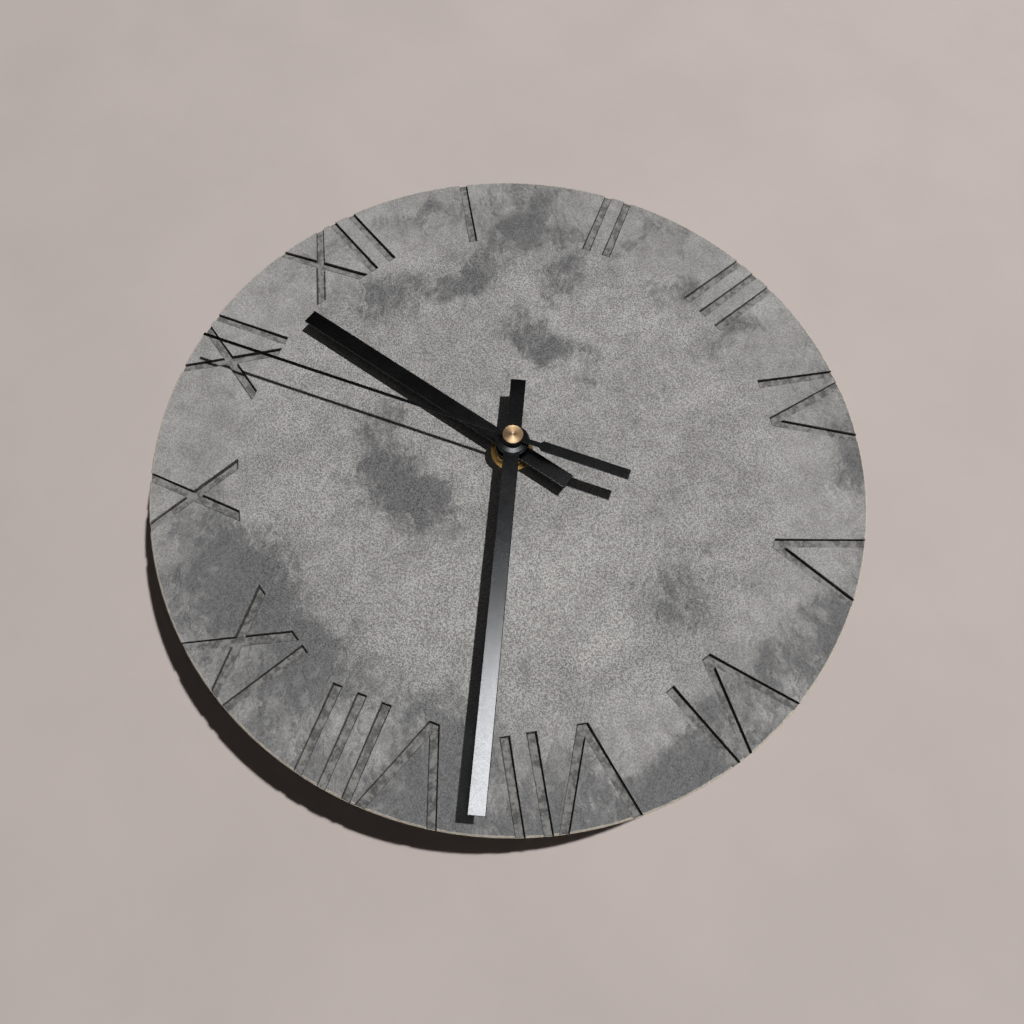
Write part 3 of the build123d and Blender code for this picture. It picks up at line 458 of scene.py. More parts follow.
@dataclass(frozen=True)
class CastStone(Finish):
    """Ground and burnished cement, with darker clouds and lighter raw edges."""

    colour: Triple = (0.322, 0.315, 0.306)
    specular: float = 0.1
    depth: float = 0.0004
    dark: Triple = (0.118, 0.118, 0.121)
    light: Triple = (0.49, 0.478, 0.458)
    raw: Triple = (0.60, 0.54, 0.45)
    underside: Triple = (0.47, 0.44, 0.40)
    # Near-black colour of painted shade, laid in the groove corners, along the groove edges and in the
    # pits.
    painted_shade_colour: Triple = (0.022, 0.021, 0.020)
    damp_dust: Triple = (0.088, 0.086, 0.083)
    dry_dust: Triple = (0.26, 0.253, 0.241)
    cool: Triple = (0.985, 1.0, 1.01)
    warm: Triple = (1.02, 0.997, 0.98)
    stroke: Triple = (0.0, -0.9, 0.0)
    radius: float = 0.150
    face: float = -0.0278
    back: float = -0.020
    blur: float = 0.0001
    groove: float = 0.0015
    reach: float = 1.35
    dark_patches: tuple[Patch, ...] = (
        Patch(6, 99, 24, 13, 0.75, -25), Patch(38, 80, 14, 10, 1.0, -40),
        Patch(65, 90, 25, 9, 0.7, 8), Patch(88, 90, 18, 11, 0.45),
        Patch(100, 112, 18, 12, 0.6, -40), Patch(75, 55, 17, 10, 0.85, 25),
        Patch(95, 75, 10, 8, 0.6), Patch(42, 40, 9, 13, 0.9, 20), Patch(47, 27, 8, 6, 0.8),
        Patch(60, 15, 6, 7, 0.75), Patch(49, 8, 7, 5, 0.5), Patch(-47, 12, 15, 19, 1.05),
        Patch(-42, 5, 10, 8, 0.6), Patch(-40, 38, 15, 12, 0.7, 30), Patch(-122, 25, 22, 18, 0.7),
        Patch(-117, 52, 18, 12, 0.45, 60), Patch(-112, 5, 12, 18, 0.7),
        Patch(-117, -20, 20, 12, 0.65), Patch(-97, -50, 10, 15, 0.6, 30),
        Patch(-88, -78, 14, 16, 0.7, 40), Patch(-110, -85, 26, 16, 0.7, 45),
        Patch(-70, -118, 30, 14, 0.6, 25), Patch(-35, -137, 30, 8, 0.8, 12),
        Patch(30, -133, 30, 10, 0.42, -10), Patch(52, -130, 16, 10, 0.2),
        Patch(110, -95, 12, 18, 0.4, -40), Patch(115, 17, 9, 9, 0.85), Patch(118, -14, 14, 8, 0.7),
        Patch(117, 50, 14, 6, 0.55, 20), Patch(35, -55, 18, 6, 0.35, 20),
        Patch(-27, -75, 14, 6, 0.3), Patch(10, -88, 14, 13, 0.6), Patch(20, -100, 20, 10, 0.35),
        Patch(135, 40, 9, 26, 0.35), Patch(0, 138, 34, 7, 0.4), Patch(60, 120, 26, 9, 0.5, -22),
        Patch(-128, -5, 26, 70, 0.5), Patch(-90, -108, 52, 20, 0.42, -42),
        Patch(85, 88, 52, 24, 0.2, -35), Patch(-5, -140, 62, 12, 0.4), Patch(120, -60, 16, 40, 0.2),
        Patch(-48, 22, 14, 26, 0.3),
    )
    # Lighter patches: rubbed stone, and low on the left of the middle also a painted sheen.
    rubbed_and_sheen_patches: tuple[Patch, ...] = (
        Patch(-22, -85, 14, 9, 0.8), Patch(30, 100, 12, 9, 0.5), Patch(-60, -40, 30, 26, 0.6),
        Patch(15, -40, 30, 18, 0.4), Patch(92, -60, 24, 18, 0.4), Patch(90, 25, 16, 12, 0.5),
        Patch(-75, 35, 12, 16, 0.4), Patch(55, 68, 10, 7, 0.35), Patch(-28, -64, 30, 20, 0.8, 20),
    )

    def patches(self, sheet: NodeSheet, place: Wire, chosen: tuple[Patch, ...]) -> Wire:
        """Adds up the masks of several patches.

        Args:
            sheet: The material's sheet.
            place: Coordinates, already warped.
            chosen: The patches.

        Returns:
            Their summed mask.
        """
        masks = [
            smudge(
                sheet,
                place=place,
                centre=(patch.x * MM, self.face, patch.z * MM),
                turn=(0.0, -math.radians(patch.turn), 0.0),
                spread=(self.reach * patch.wide * MM, 1.0, self.reach * patch.tall * MM),
                depth=patch.depth,
            )["mask"]
            for patch in chosen
        ]
        return sum(masks[1:], masks[0])

    def warped(self, sheet: NodeSheet) -> Wire:
        """Bends the sheet's coordinates, so that the patches aren't plain ovals.

        Args:
            sheet: The material's sheet.

        Returns:
            The bent coordinates.
        """
        place = sheet.here
        for size, detail, rough, reach in ((0.022, 2.0, 0.55, 0.022), (0.0045, 3.0, 0.65, 0.009)):
            wander = sheet.noise(sheet.here, size, detail, rough, output=1)
            jitter = sheet.vector("SUBTRACT", wander, GREY)
            place = sheet.vector("ADD", place, sheet.vector("MULTIPLY", jitter, (reach, 0.0, reach)))
        return place

    def coat(self, sheet: NodeSheet) -> Coat:
        """Paints the dial, whose mesh carries the masks "arris" and "foot".

        Args:
            sheet: The material's sheet.

        Returns:
            The coat.
        """
        x, y, z = sheet.split(sheet.here)
        radius = sheet.hypot(x, z)
        warped = self.warped(sheet)
        trowel = streaks(sheet, place=warped, turn=self.stroke, spread=(0.009, 0.02, 0.0012))
        clouds = mottle(sheet, size=0.034, contrast=0.20)
        small_clouds = mottle(sheet, size=0.0085, contrast=0.14)
        grit = grain(sheet, size=0.00092)
        middle = sheet.ease(radius, 0.128, 0.098)

        # Noise added before the threshold gives the patches their torn, brushed borders.
        torn = sheet.noise(sheet.here, 0.015, 7.0, 0.68) - 0.5
        tatters = sheet.noise(warped, 0.0045, 4.0, 0.7) - 0.5
        ragged = torn * 2.3 + tatters * 1.3 + trowel["tone"] * 0.26 + grit["tone"] * 0.10
        handled = sheet.ease(radius, 0.134, 0.149) * sheet.ease(z, 0.0, -0.07, 0.0, 0.42)
        worn = sheet.ease(self.patches(sheet, warped, self.dark_patches) + ragged + handled, 0.10, 1.15)
        # The lighter patches blend in rubbed stone and a painted sheen.
        rubbed_and_sheen = sheet.ease(self.patches(sheet, warped, self.rubbed_and_sheen_patches) + ragged, 0.2, 1.1)
        colour = sheet.scaled(self.colour, clouds["tone"] * small_clouds["tone"])
        colour = sheet.blend(rubbed_and_sheen * 0.42, colour, self.light)
        colour = sheet.blend(worn * 0.86, colour, self.dark)

        # Grit and trowel marks lie over light and dark alike.
        brushed = streaks(sheet, place=warped, turn=self.stroke, spread=(0.0045, 0.02, 0.0007))
        flecks = grit["tone"] * (middle * 0.16 + 0.22)
        swept = brushed["tone"] * (worn * 0.12 + 0.06)
        cast = sheet.ease(sheet.noise(sheet.here, 0.0011, 1.0, 0.6), 0.35, 0.65)
        warmth = sheet.blend(cast, self.cool, self.warm)
        colour = sheet.scaled(sheet.vector("MULTIPLY", colour, warmth), flecks + swept + 1.0)

        # Floors of the numerals: rougher, with pale dust and dark flecks.
        floor = sheet.ease(y, self.face + 0.3 * self.groove, self.face + 0.9 * self.groove)
        dust = sheet.noise(sheet.here, 0.0028, 4.0, 0.7)
        dusty = sheet.blend(sheet.ease(dust, 0.38, 0.60), self.damp_dust, self.dry_dust)
        colour = sheet.blend(floor * 0.82, colour, dusty)

        # Painted shade, near black, in the corners of the grooves and as a dark line on the face along
        # them; lighter wear where the arrises are chipped.
        arris = sheet.wire("ShaderNodeAttribute", "Fac", attribute_name="arris")
        foot = sheet.wire("ShaderNodeAttribute", "Fac", attribute_name="foot")
        painted_corner_shade = edge_wear_and_shade_mask(sheet, edge=foot, size=0.003)["mask"]
        chipped = edge_wear_and_shade_mask(sheet, edge=arris, size=0.0016)["mask"]
        painted_edge_line = sheet.ease(arris, 0.2, 0.75) * sheet.ease(dust, 0.34, 0.5, 0.45, 0.9)
        colour = sheet.blend(painted_corner_shade * 0.85, colour, self.painted_shade_colour)
        colour = sheet.blend(chipped * 0.35, colour, self.light)
        colour = sheet.blend(painted_edge_line, colour, self.painted_shade_colour)

        # The rim and the back are raw, pale and open-pored.
        edge = self.radius - self.blur
        lip = sheet.ease(dust * 0.0008 + radius, edge - 0.0005, edge) * (1.0 - floor)
        rim = sheet.math("MAXIMUM", lip, sheet.ease(radius, edge - self.blur, edge))
        back = sheet.ease(y, self.back - self.blur, self.back + self.blur)
        raw = sheet.math("MAXIMUM", rim, back)
        sand = grain(sheet, size=0.0009)["tone"] * 0.14 + 0.95
        unground = sheet.scaled(sheet.blend(back, self.raw, self.underside), sand)
        colour = sheet.blend(raw, colour, unground)
        # The pits are painted near black: painted shade in the hollows.
        pits = pores(sheet, size=0.0032, share=0.35)["mask"] * raw
        colour = sheet.blend(pits * 0.8, colour, self.painted_shade_colour)

        coarse = sheet.math("MAXIMUM", floor, raw)
        roughness = worn * -0.16 + 0.66 + small_clouds["mask"] * 0.07 + coarse * 0.2
        relief = grit["height"] * (middle * 0.8 + 0.35) + dust * (floor * 1.2)
        return Coat(colour, roughness, relief - pits * 2.5 + trowel["height"] * 0.35)


class LineAxis(Enum):
    """The direction of a finish's lines on a piece."""

    X = (0.0, 0.0, 0.0)
    Z = (0.0, -math.pi / 2, 0.0)


@dataclass(frozen=True)
class SatinBlack(Finish):
    """Black anodised metal, with faint lines along the piece."""

    colour: Triple = (0.0012, 0.0012, 0.0014)
    roughness: float = 0.25
    depth: float = 0.000008

    def coat(self, sheet: NodeSheet, turn: float) -> Coat:
        """Paints a hand or a hub part.

        Args:
            sheet: The material's sheet.
            turn: The direction of the lines, in degrees clockwise from XII.

        Returns:
            The coat.
        """
        lie = (0.0, math.radians(turn - 90), 0.0)
        lines = streaks(sheet, turn=lie, spread=(0.008, 0.0006, 0.0005))
        specks = grain(sheet, size=0.0006)
        marks = mottle(sheet, size=0.016, contrast=0.5)
        colour = sheet.scaled(self.colour, lines["tone"] * 0.12 + marks["tone"])
        roughness = marks["mask"] * 0.035 + specks["tone"] * 0.02 + (self.roughness - 0.02)
        return Coat(colour, roughness, lines["height"] * 0.6 + specks["height"])


@dataclass(frozen=True)
class TurnedMetal(Finish):
    """Brass or steel turned on a lathe: tool lines round the axis, and light tarnish."""

    colour: Triple = (0.80, 0.60, 0.36)
    roughness: float = 0.30
    metallic: float = 1.0
    depth: float = 0.000012
    spread: float = 0.6
    tarnish: Triple = (0.42, 0.27, 0.12)
    pitch: float = 0.00022
    tarnished: float = 0.35

    def coat(self, sheet: NodeSheet, centre: Triple = ORIGIN) -> Coat:
        """Paints a piece turned about an axis along Y.

        Args:
            sheet: The material's sheet.
            centre: A point on the axis.

        Returns:
            The coat.
        """
        lines = lathe_lines(sheet, centre=centre, pitch=self.pitch)
        stains = mottle(sheet, size=0.0035, contrast=0.2)
        colour = sheet.scaled(self.colour, lines["tone"] * 0.07 + stains["tone"])
        colour = sheet.blend(stains["mask"] * self.tarnished, colour, self.tarnish)
        return Coat(colour, stains["mask"] * 0.12 + self.roughness, lines["height"])


@dataclass(frozen=True)
class RolledMetal(Finish):
    """Strip or sheet with rolling lines one way and handling marks."""

    colour: Triple = (0.46, 0.47, 0.48)
    roughness: float = 0.42
    metallic: float = 1.0
    second: Triple = (0.34, 0.36, 0.40)
    axis: LineAxis = LineAxis.Z

    def coat(self, sheet: NodeSheet) -> Coat:
        """Paints the finish.

        Args:
            sheet: The material's sheet.

        Returns:
            The coat.
        """
        lines = streaks(sheet, turn=self.axis.value, spread=(0.012, 0.00035, 0.00035))
        spangle = mottle(sheet, size=0.004, contrast=0.16)
        colour = sheet.scaled(self.colour, lines["tone"] * 0.06 + spangle["tone"])
        colour = sheet.blend(spangle["mask"] * 0.4, colour, self.second)
        roughness = spangle["mask"] * 0.1 + lines["tone"] * 0.03 + self.roughness
        return Coat(colour, roughness, lines["height"])


@dataclass(frozen=True)
class MouldedPlastic(Finish):
    """Moulded plastic with an eroded skin and slightly uneven gloss."""

    colour: Triple = (0.03, 0.03, 0.032)
    depth: float = 0.00002
    skin: float = 0.0004
    scuffed: float = 0.1

    def coat(self, sheet: NodeSheet) -> Coat:
        """Paints the finish.

        Args:
            sheet: The material's sheet.

        Returns:
            The coat.
        """
        skin = grain(sheet, size=self.skin)
        flow = mottle(sheet, size=0.014, contrast=0.22)
        scuffs = streaks(sheet, turn=(0.0, 0.7, 0.0), spread=(0.006, 0.006, 0.0004))
        colour = sheet.scaled(self.colour, skin["tone"] * 0.05 + flow["tone"])
        pale = tuple(min(1.0, channel * 1.5 + 0.05) for channel in self.colour)
        colour = sheet.blend(sheet.ease(scuffs["tone"], 0.7, 1.0) * self.scuffed, colour, pale)
        roughness = flow["mask"] * 0.08 + skin["tone"] * 0.04 + self.roughness
        return Coat(colour, roughness, skin["height"])


@dataclass(frozen=True)
class BoardLaminate(Finish):
    """Green circuit laminate with a weave and copper tracks under the lacquer."""

    colour: Triple = (0.05, 0.17, 0.075)
    roughness: float = 0.36
    depth: float = 0.00003
    track: Triple = (0.10, 0.29, 0.12)
    threads: float = 7000.0
    lanes: float = 420.0

    def coat(self, sheet: NodeSheet) -> Coat:
        """Paints the finish.

        Args:
            sheet: The material's sheet.

        Returns:
            The coat.
        """
        x, _, z = sheet.split(sheet.here)
        weave = sheet.math("SINE", x * self.threads) * sheet.math("SINE", z * self.threads)
        flow = mottle(sheet, size=0.006, contrast=0.2)
        feeds = {"Vector": sheet.here, "Scale": self.lanes}
        lanes = sheet.wire("ShaderNodeTexVoronoi", "Distance", feeds, distance="MANHATTAN")
        track = sheet.ease(lanes, 0.30, 0.34)
        colour = sheet.blend(track, sheet.scaled(self.colour, weave * 0.06 + flow["tone"]), self.track)
        return Coat(colour, flow["mask"] * 0.1 + self.roughness, weave * 0.1 + track)


@dataclass(frozen=True)
class WoundWire(Finish):
    """Fine enamelled copper wire, wound side by side along X."""

    colour: Triple = (0.62, 0.25, 0.10)
    roughness: float = 0.28
    metallic: float = 1.0
    depth: float = 0.00008
    wire: float = 0.00016

    def coat(self, sheet: NodeSheet) -> Coat:
        """Paints the finish.

        Args:
            sheet: The material's sheet.

        Returns:
            The coat.
        """
        x, _, _ = sheet.split(sheet.here)
        layers = mottle(sheet, size=0.003, contrast=0.3)
        phase = x * (2 * math.pi / self.wire) + layers["mask"]
        turn_height_and_shade = sheet.math("ABSOLUTE", sheet.math("SINE", phase))
        # Painted shade: each turn is lighter on its crest and darker in the groove to the next turn.
        colour = sheet.scaled(self.colour, layers["tone"] * (turn_height_and_shade * 0.45 + 0.55))
        return Coat(colour, layers["mask"] * 0.12 + self.roughness, turn_height_and_shade)


@dataclass(frozen=True)
class CellWrap(Finish):
    """The cell: a plain two-tone sleeve shrunk over a nickel can."""

    colour: Triple = (0.035, 0.036, 0.04)
    roughness: float = 0.3
    depth: float = 0.00002
    band: Triple = (0.55, 0.30, 0.13)
    band_length: float = 0.0147
    nickel: Triple = (0.62, 0.61, 0.58)
    shoulder: float = 0.0012

    def coat(self, sheet: NodeSheet, low: Vector, high: Vector) -> Coat:
        """Paints the cell.

        Args:
            sheet: The material's sheet.
            low: The lowest corner of its box.
            high: The highest corner of its box.

        Returns:
            The coat.
        """
        x, y, z = sheet.split(sheet.vector("SUBTRACT", sheet.here, tuple((low + high) / 2)))
        half = (high.x - low.x) / 2
        reach = (high.z - low.z) / 2 - self.shoulder
        crinkle = grain(sheet, size=0.0016)
        flow = mottle(sheet, size=0.012, contrast=0.14)
        bare = sheet.ease(crinkle["tone"] * 0.00006 + sheet.hypot(y, z), reach + 0.0001, reach - 0.0001)
        band = sheet.ease(x, half - self.band_length - 0.0001, half - self.band_length + 0.0001)
        wrap = sheet.blend(band, sheet.scaled(self.colour, flow["tone"]), self.band)
        metal = sheet.scaled(self.nickel, crinkle["tone"] * 0.06 + 1.0)
        roughness = flow["mask"] * 0.08 + self.roughness
        shine = sheet.math("MAXIMUM", bare, band * 0.8)
        return Coat(sheet.blend(bare, wrap, metal), roughness, crinkle["height"], shine)


# --- workbench
class Axis(Enum):
    """The axis that a turned piece is made about, as its index and its circle's rotation."""

    X = (0, (0.0, math.pi / 2, 0.0))
    Y = (1, (math.pi / 2, 0.0, 0.0))


class Workpiece:
    """One mesh piece while it is shaped at the origin, in the clock's own frame."""

    def __init__(self, piece: bpy.types.Object) -> None:
        """Takes hold of a mesh object."""
        self.piece = piece

    @staticmethod
    def put_down() -> None:
        """Leaves edit mode and deselects every object."""
        if bpy.context.object is not None and bpy.context.object.mode != "OBJECT":
            bpy.ops.object.mode_set(mode="OBJECT")
        bpy.ops.object.select_all(action="DESELECT")

    @classmethod
    def from_node(cls, node: str, name: str) -> "Workpiece":
        """Copies a CAD node's mesh and merges its loose triangles into one skin.

        Args:
            node: The CAD node.
            name: The new piece's name.

        Returns:
            The piece.
        """
        cls.put_down()
        piece = bpy.data.objects.new(name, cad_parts[node].data.copy())
        bpy.context.scene.collection.objects.link(piece)
        work = cls(piece)
        work.open_mesh()
        bpy.ops.mesh.remove_doubles(threshold=MERGE)
        bpy.ops.object.mode_set(mode="OBJECT")
        if piece.data.has_custom_normals:
            bpy.ops.mesh.customdata_custom_splitnormals_clear()
        work.open_mesh()
        bpy.ops.mesh.dissolve_limited(angle_limit=FLAT_WITHIN, delimit={"NORMAL"})
        cls.put_down()
        return work

    @classmethod
    def turned(
        cls, name: str, axis: Axis, centre: Vector, profile: Profile, sides: int = 96, ring: bool = False
    ) -> "Workpiece":
        """Turns a piece from a circle, step by step along its profile.

        Args:
            name: The piece's name.
            axis: The axis that it is turned about.
            centre: A point on that axis.
            profile: Its radius and its place along the axis at each step, in metres.
            sides: Faces round it.
            ring: Whether the profile closes on itself, as on a washer.

        Returns:
            The piece.
        """
        cls.put_down()
        along, rotation = axis.value
        radius, travel = profile[0]
        start = centre.copy()
        start[along] = travel
        fill = "NOTHING" if ring else "NGON"
        bpy.ops.mesh.primitive_circle_add(
            vertices=sides, radius=radius, fill_type=fill, location=start, rotation=rotation
        )
        piece = bpy.context.object
        piece.name = name
        bpy.ops.object.transform_apply(location=True, rotation=True, scale=True)
        bpy.ops.object.mode_set(mode="EDIT")
        bpy.ops.mesh.select_all(action="SELECT")
        for next_radius, next_travel in profile[1:]:
            step = [0.0, 0.0, 0.0]
            step[along] = next_travel - travel
            growth = [next_radius / radius] * 3
            growth[along] = 1.0
            pivot = centre.copy()
            pivot[along] = next_travel
            bpy.ops.mesh.extrude_region_move(TRANSFORM_OT_translate={"value": step})
            bpy.ops.transform.resize(value=growth, center_override=pivot)
            radius, travel = next_radius, next_travel
        bpy.ops.mesh.select_all(action="SELECT")
        bpy.ops.mesh.remove_doubles(threshold=MERGE)
        bpy.ops.mesh.normals_make_consistent(inside=False)
        cls.put_down()
        return cls(piece)

    def take_up(self) -> None:
        """Selects the piece alone and makes it active."""
        self.put_down()
        bpy.context.view_layer.objects.active = self.piece
        self.piece.select_set(True)

    def open_mesh(self) -> None:
        """Opens the piece's mesh, with all of it selected."""
        self.take_up()
        bpy.ops.object.mode_set(mode="EDIT")
        bpy.ops.mesh.select_mode(type="VERT")
        bpy.ops.mesh.select_all(action="SELECT")

    def pick_faces(self, wanted: Callable[[bpy.types.MeshPolygon], bool]) -> int:
        """Opens the mesh with only the wanted faces selected.

        Args:
            wanted: Says of a face whether it is wanted.

        Returns:
            How many faces are selected.
        """
        self.open_mesh()
        bpy.ops.mesh.select_mode(type="FACE")
        bpy.ops.mesh.select_all(action="DESELECT")
        bpy.ops.object.mode_set(mode="OBJECT")
        count = 0
        for face in self.piece.data.polygons:
            face.select = bool(wanted(face))
            count += face.select
        bpy.ops.object.mode_set(mode="EDIT")
        return count

    def round_edges(self, width: float, segments: int = 2, sharper_than: float = 30.0) -> None:
        """Rounds the sharp edges with a bevel, and applies it.

        Args:
            width: The width of the bevel, in metres.
            segments: Faces across it.
            sharper_than: The least angle that counts as an edge, in degrees.
        """
        self.take_up()
        bevel = self.piece.modifiers.new("rounding", "BEVEL")
        bevel.width = width
        bevel.segments = segments
        bevel.limit_method = "ANGLE"
        bevel.angle_limit = math.radians(sharper_than)
        bevel.use_clamp_overlap = True
        bevel.miter_outer = "MITER_ARC"
        bpy.ops.object.modifier_apply(modifier=bevel.name)

    def hand_over(self, body: str, slot: str, material: bpy.types.Material, node: str) -> None:
        """Finishes the piece: its shading, its material, its body and the node that it stands for.

        Args:
            body: The CAD body that it rides on.
            slot: The record's material slot. Not used.
            material: Its material.
            node: The CAD node that it replaces.
        """
        self.take_up()
        bpy.ops.object.shade_smooth_by_angle(angle=SMOOTH_UNDER)
        self.put_down()
        self.piece.data.materials.clear()
        self.piece.data.materials.append(material)
        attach(self.piece, body)
        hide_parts(node)
        log.info("piece %s: %d faces on %s", self.piece.name, len(self.piece.data.polygons), body)


@dataclass(frozen=True)
class Turning:
    """A piece turned about the hand axis. A step is a radius and a distance from the wall, in mm."""

    name: str
    node: str
    body: str
    slot: str
    steps: Profile
    arris: float
    segments: int = 2
    ring: bool = True

    def make(self, material: bpy.types.Material) -> None:
        """Turns, rounds and dresses the piece.

        Args:
            material: Its material.
        """
        profile = tuple((radius * MM, -depth * MM) for radius, depth in self.steps)
        work = Workpiece.turned(self.name, Axis.Y, Vector(), profile, ring=self.ring)
        work.round_edges(self.arris * MM, self.segments)
        work.hand_over(self.body, self.slot, material, self.node)


def dress(material: bpy.types.Material, *nodes: str) -> None:
    """Gives CAD nodes their material, and leaves their shape alone.

    Args:
        material: The material.
        *nodes: The CAD nodes.
    """
    for node in nodes:
        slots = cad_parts[node].data.materials
        slots.clear()
        slots.append(material)
        log.info("node %s: %s", node, material.name)


# --- dial
@dataclass
class StoneDial:
    """The cast dial with its sunk numerals."""

    face: float = 27.8 * MM
    groove: float = 1.5 * MM
    band: float = 0.55 * MM
    arris: float = 0.14 * MM
    level: float = 0.02 * MM
    facing: float = -0.99
    sharp: float = 0.8
    batch: int = 500
    stone: CastStone = CastStone()

    def build(self) -> None:
        """Shapes and dresses the dial."""
        work = Workpiece.from_node("dial", "cast_dial")
        floor = self.face - self.groove
        arrises = self.edges_at(work.piece, self.face, self.stone.radius - 1.1 * MM)
        feet = self.edges_at(work.piece, floor, self.stone.radius + 2.0 * MM)
        for depth in (self.face, floor):
            found = work.pick_faces(
                lambda face: abs(face.center.y + depth) < self.level and face.normal.y < self.facing
            )
            log.info("dial: %d faces at %.1f mm get a band along their edges", found, depth / MM)
            bpy.ops.mesh.inset(thickness=self.band, depth=0.0, use_even_offset=True, use_boundary=True)
        work.round_edges(self.arris, sharper_than=40.0)
        self.mark(work.piece, "arris", arrises)
        self.mark(work.piece, "foot", feet)
        work.hand_over("clock_body", "cast_stone", self.stone.material("cast_stone_dial"), "dial")

    def edges_at(self, piece: bpy.types.Object, depth: float, within: float) -> np.ndarray:
        """Finds the sharp edges that lie at one depth.

        Args:
            piece: The dial.
            depth: The depth, in front of the wall.
            within: Only edges whose ends lie within this radius are kept.

        Returns:
            The ends of the edges, as an array of pairs of points.
        """
        mesh = piece.data
        faces_of: dict[tuple[int, int], list[Vector]] = {}
        for face in mesh.polygons:
            for key in face.edge_keys:
                faces_of.setdefault(key, []).append(face.normal)
        kept = []
        for ends, normals in faces_of.items():
            points = [mesh.vertices[end].co for end in ends]
            level = all(abs(at.y + depth) < self.level for at in points)
            fits = level and all(math.hypot(at.x, at.z) < within for at in points)
            if fits and len(normals) == 2 and normals[0].dot(normals[1]) < self.sharp:
                kept.append([at[:] for at in points])
        return np.array(kept)

    def mark(self, piece: bpy.types.Object, name: str, edges: np.ndarray) -> None:
        """Writes how near each vertex is to some edges: 1 on them, 0 a band's width away.

        Args:
            piece: The dial.
            name: The attribute's name.
            edges: The edges, as pairs of points.
        """
        mesh = piece.data
        points = np.zeros(len(mesh.vertices) * 3)
        mesh.vertices.foreach_get("co", points)
        points = points.reshape(-1, 3)
        start, run = edges[:, 0], edges[:, 1] - edges[:, 0]
        length = (run**2).sum(1)
        nearest = np.full(len(points), np.inf)
        for low in range(0, len(points), self.batch):
            part = points[low : low + self.batch, None, :] - start[None]
            share = np.clip((part * run).sum(2) / length, 0, 1)
            gap = np.linalg.norm(part - share[..., None] * run, axis=2)
            nearest[low : low + self.batch] = gap.min(1)
        near = np.clip(1 - nearest / self.band, 0, 1).astype(np.float32)
        mesh.attributes.new(name, "FLOAT", "POINT").data.foreach_set("value", near)


# --- hands
@dataclass
class HandSet:
    """The three hands and the turned parts that hold them."""

    angles: tuple[tuple[str, float], ...] = (("hour", 344.5), ("minute", 224.3), ("second", 329.2))
    arris: float = 0.09 * MM
    black: SatinBlack = SatinBlack()
    hub_black: SatinBlack = SatinBlack(roughness=0.34)
    brass: TurnedMetal = TurnedMetal(colour=(0.46, 0.31, 0.175), roughness=0.4, tarnished=0.2)
    hub_parts: tuple[Turning, ...] = (
        Turning(
            "hour_boss", "hour_collet", "hour_train", "black_anodised",
            ((2.55, 32.1), (3.9, 32.1), (3.9, 33.0), (3.25, 33.0), (3.25, 33.8), (3.9, 33.8),
             (3.9, 34.1), (2.55, 34.1), (2.55, 32.1)),
            0.07,
        ),
        Turning(
            "minute_boss", "minute_collet", "minute_train", "black_anodised",
            ((1.6, 36.2), (3.0, 36.2), (3.0, 38.0), (2.3, 38.0), (2.3, 38.8), (6.2, 38.8),
             (6.0, 39.0), (4.4, 39.55), (3.9, 39.7), (1.6, 39.7), (1.6, 36.2)),
            0.07, 3,
        ),
        Turning(
            "hub_rear", "second_hub", "second_train", "black_anodised",
            ((0.5, 40.1), (4.3, 40.1), (4.3, 41.7), (2.0, 41.7), (2.0, 43.1), (0.5, 43.1),
             (0.5, 40.1)),
            0.09, 3,
        ),
        Turning(
            "hub_front", "second_hub_top", "second_train", "black_anodised",
            ((2.0, 42.2), (4.3, 42.2), (4.3, 43.7), (4.22, 43.8), (4.16, 43.8), (4.16, 43.6),
             (2.0, 43.6), (2.0, 42.2)),
            0.05,
        ),
    )
    cap: Turning = Turning(
        "turned_cap", "brass_cap", "second_train", "brass",
        ((0.4, 43.6), (4.15, 43.6), (4.15, 43.88), (4.0, 44.0), (3.55, 44.0), (3.45, 43.96),
         (3.3, 43.98), (0.5, 43.99), (0.36, 43.96), (0.1, 43.94)),
        0.03, ring=False,
    )

    def build(self) -> None:
        """Shapes and dresses the hands, their collets, the hub and its cap."""
        for train, angle in self.angles:
            hand = Workpiece.from_node(f"{train}_hand", f"{train}_blade")
            hand.round_edges(self.arris, sharper_than=40.0)
            finish = self.black.material(f"satin_black_{train}", turn=angle)
            hand.hand_over(f"{train}_train", "black_anodised", finish, f"{train}_hand")
        hub = self.hub_black.material("satin_black_hub", turn=0.0)
        for part in self.hub_parts:
            part.make(hub)
        self.cap.make(self.brass.material("turned_brass_cap"))


# --- clamp
@dataclass
class DialClamp:
    """The nut, washer, bush, gasket and hanger that hold the dial on the movement."""

    brass: TurnedMetal = TurnedMetal(
        colour=(0.33, 0.21, 0.07), tarnish=(0.13, 0.07, 0.02), roughness=0.42, tarnished=0.8
    )
    zinc: RolledMetal = RolledMetal()
    rubber: MouldedPlastic = MouldedPlastic(
        colour=(0.022, 0.022, 0.022), roughness=0.8, depth=0.00004
    )
    nut_arris: float = 0.1 * MM
    hanger_arris: float = 0.12 * MM
    washer: Turning = Turning(
        "brass_washer", "dial_washer", "clock_body", "brass",
        ((4.1, 27.8), (9.0, 27.8), (9.0, 28.2), (8.8, 28.4), (4.3, 28.4), (4.1, 28.3),
         (4.1, 27.8)),
        0.06,
    )

    def build(self) -> None:
        """Shapes and dresses the clamp."""
        turned = self.brass.material("turned_brass")
        nut = Workpiece.from_node("lock_nut", "hexagon_nut")
        nut.round_edges(self.nut_arris, segments=3, sharper_than=25.0)
        nut.hand_over("clock_body", "brass", turned, "lock_nut")
        self.washer.make(turned)
        dress(turned, "threaded_bush")
        dress(self.rubber.material("soft_rubber"), "rubber_gasket")
        hanger = Workpiece.from_node("wall_hanger", "steel_hanger")
        hanger.round_edges(self.hanger_arris, sharper_than=40.0)
        zinc = self.zinc.material("zinc_plated_strip")
        hanger.hand_over("clock_body", "zinc_steel", zinc, "wall_hanger")


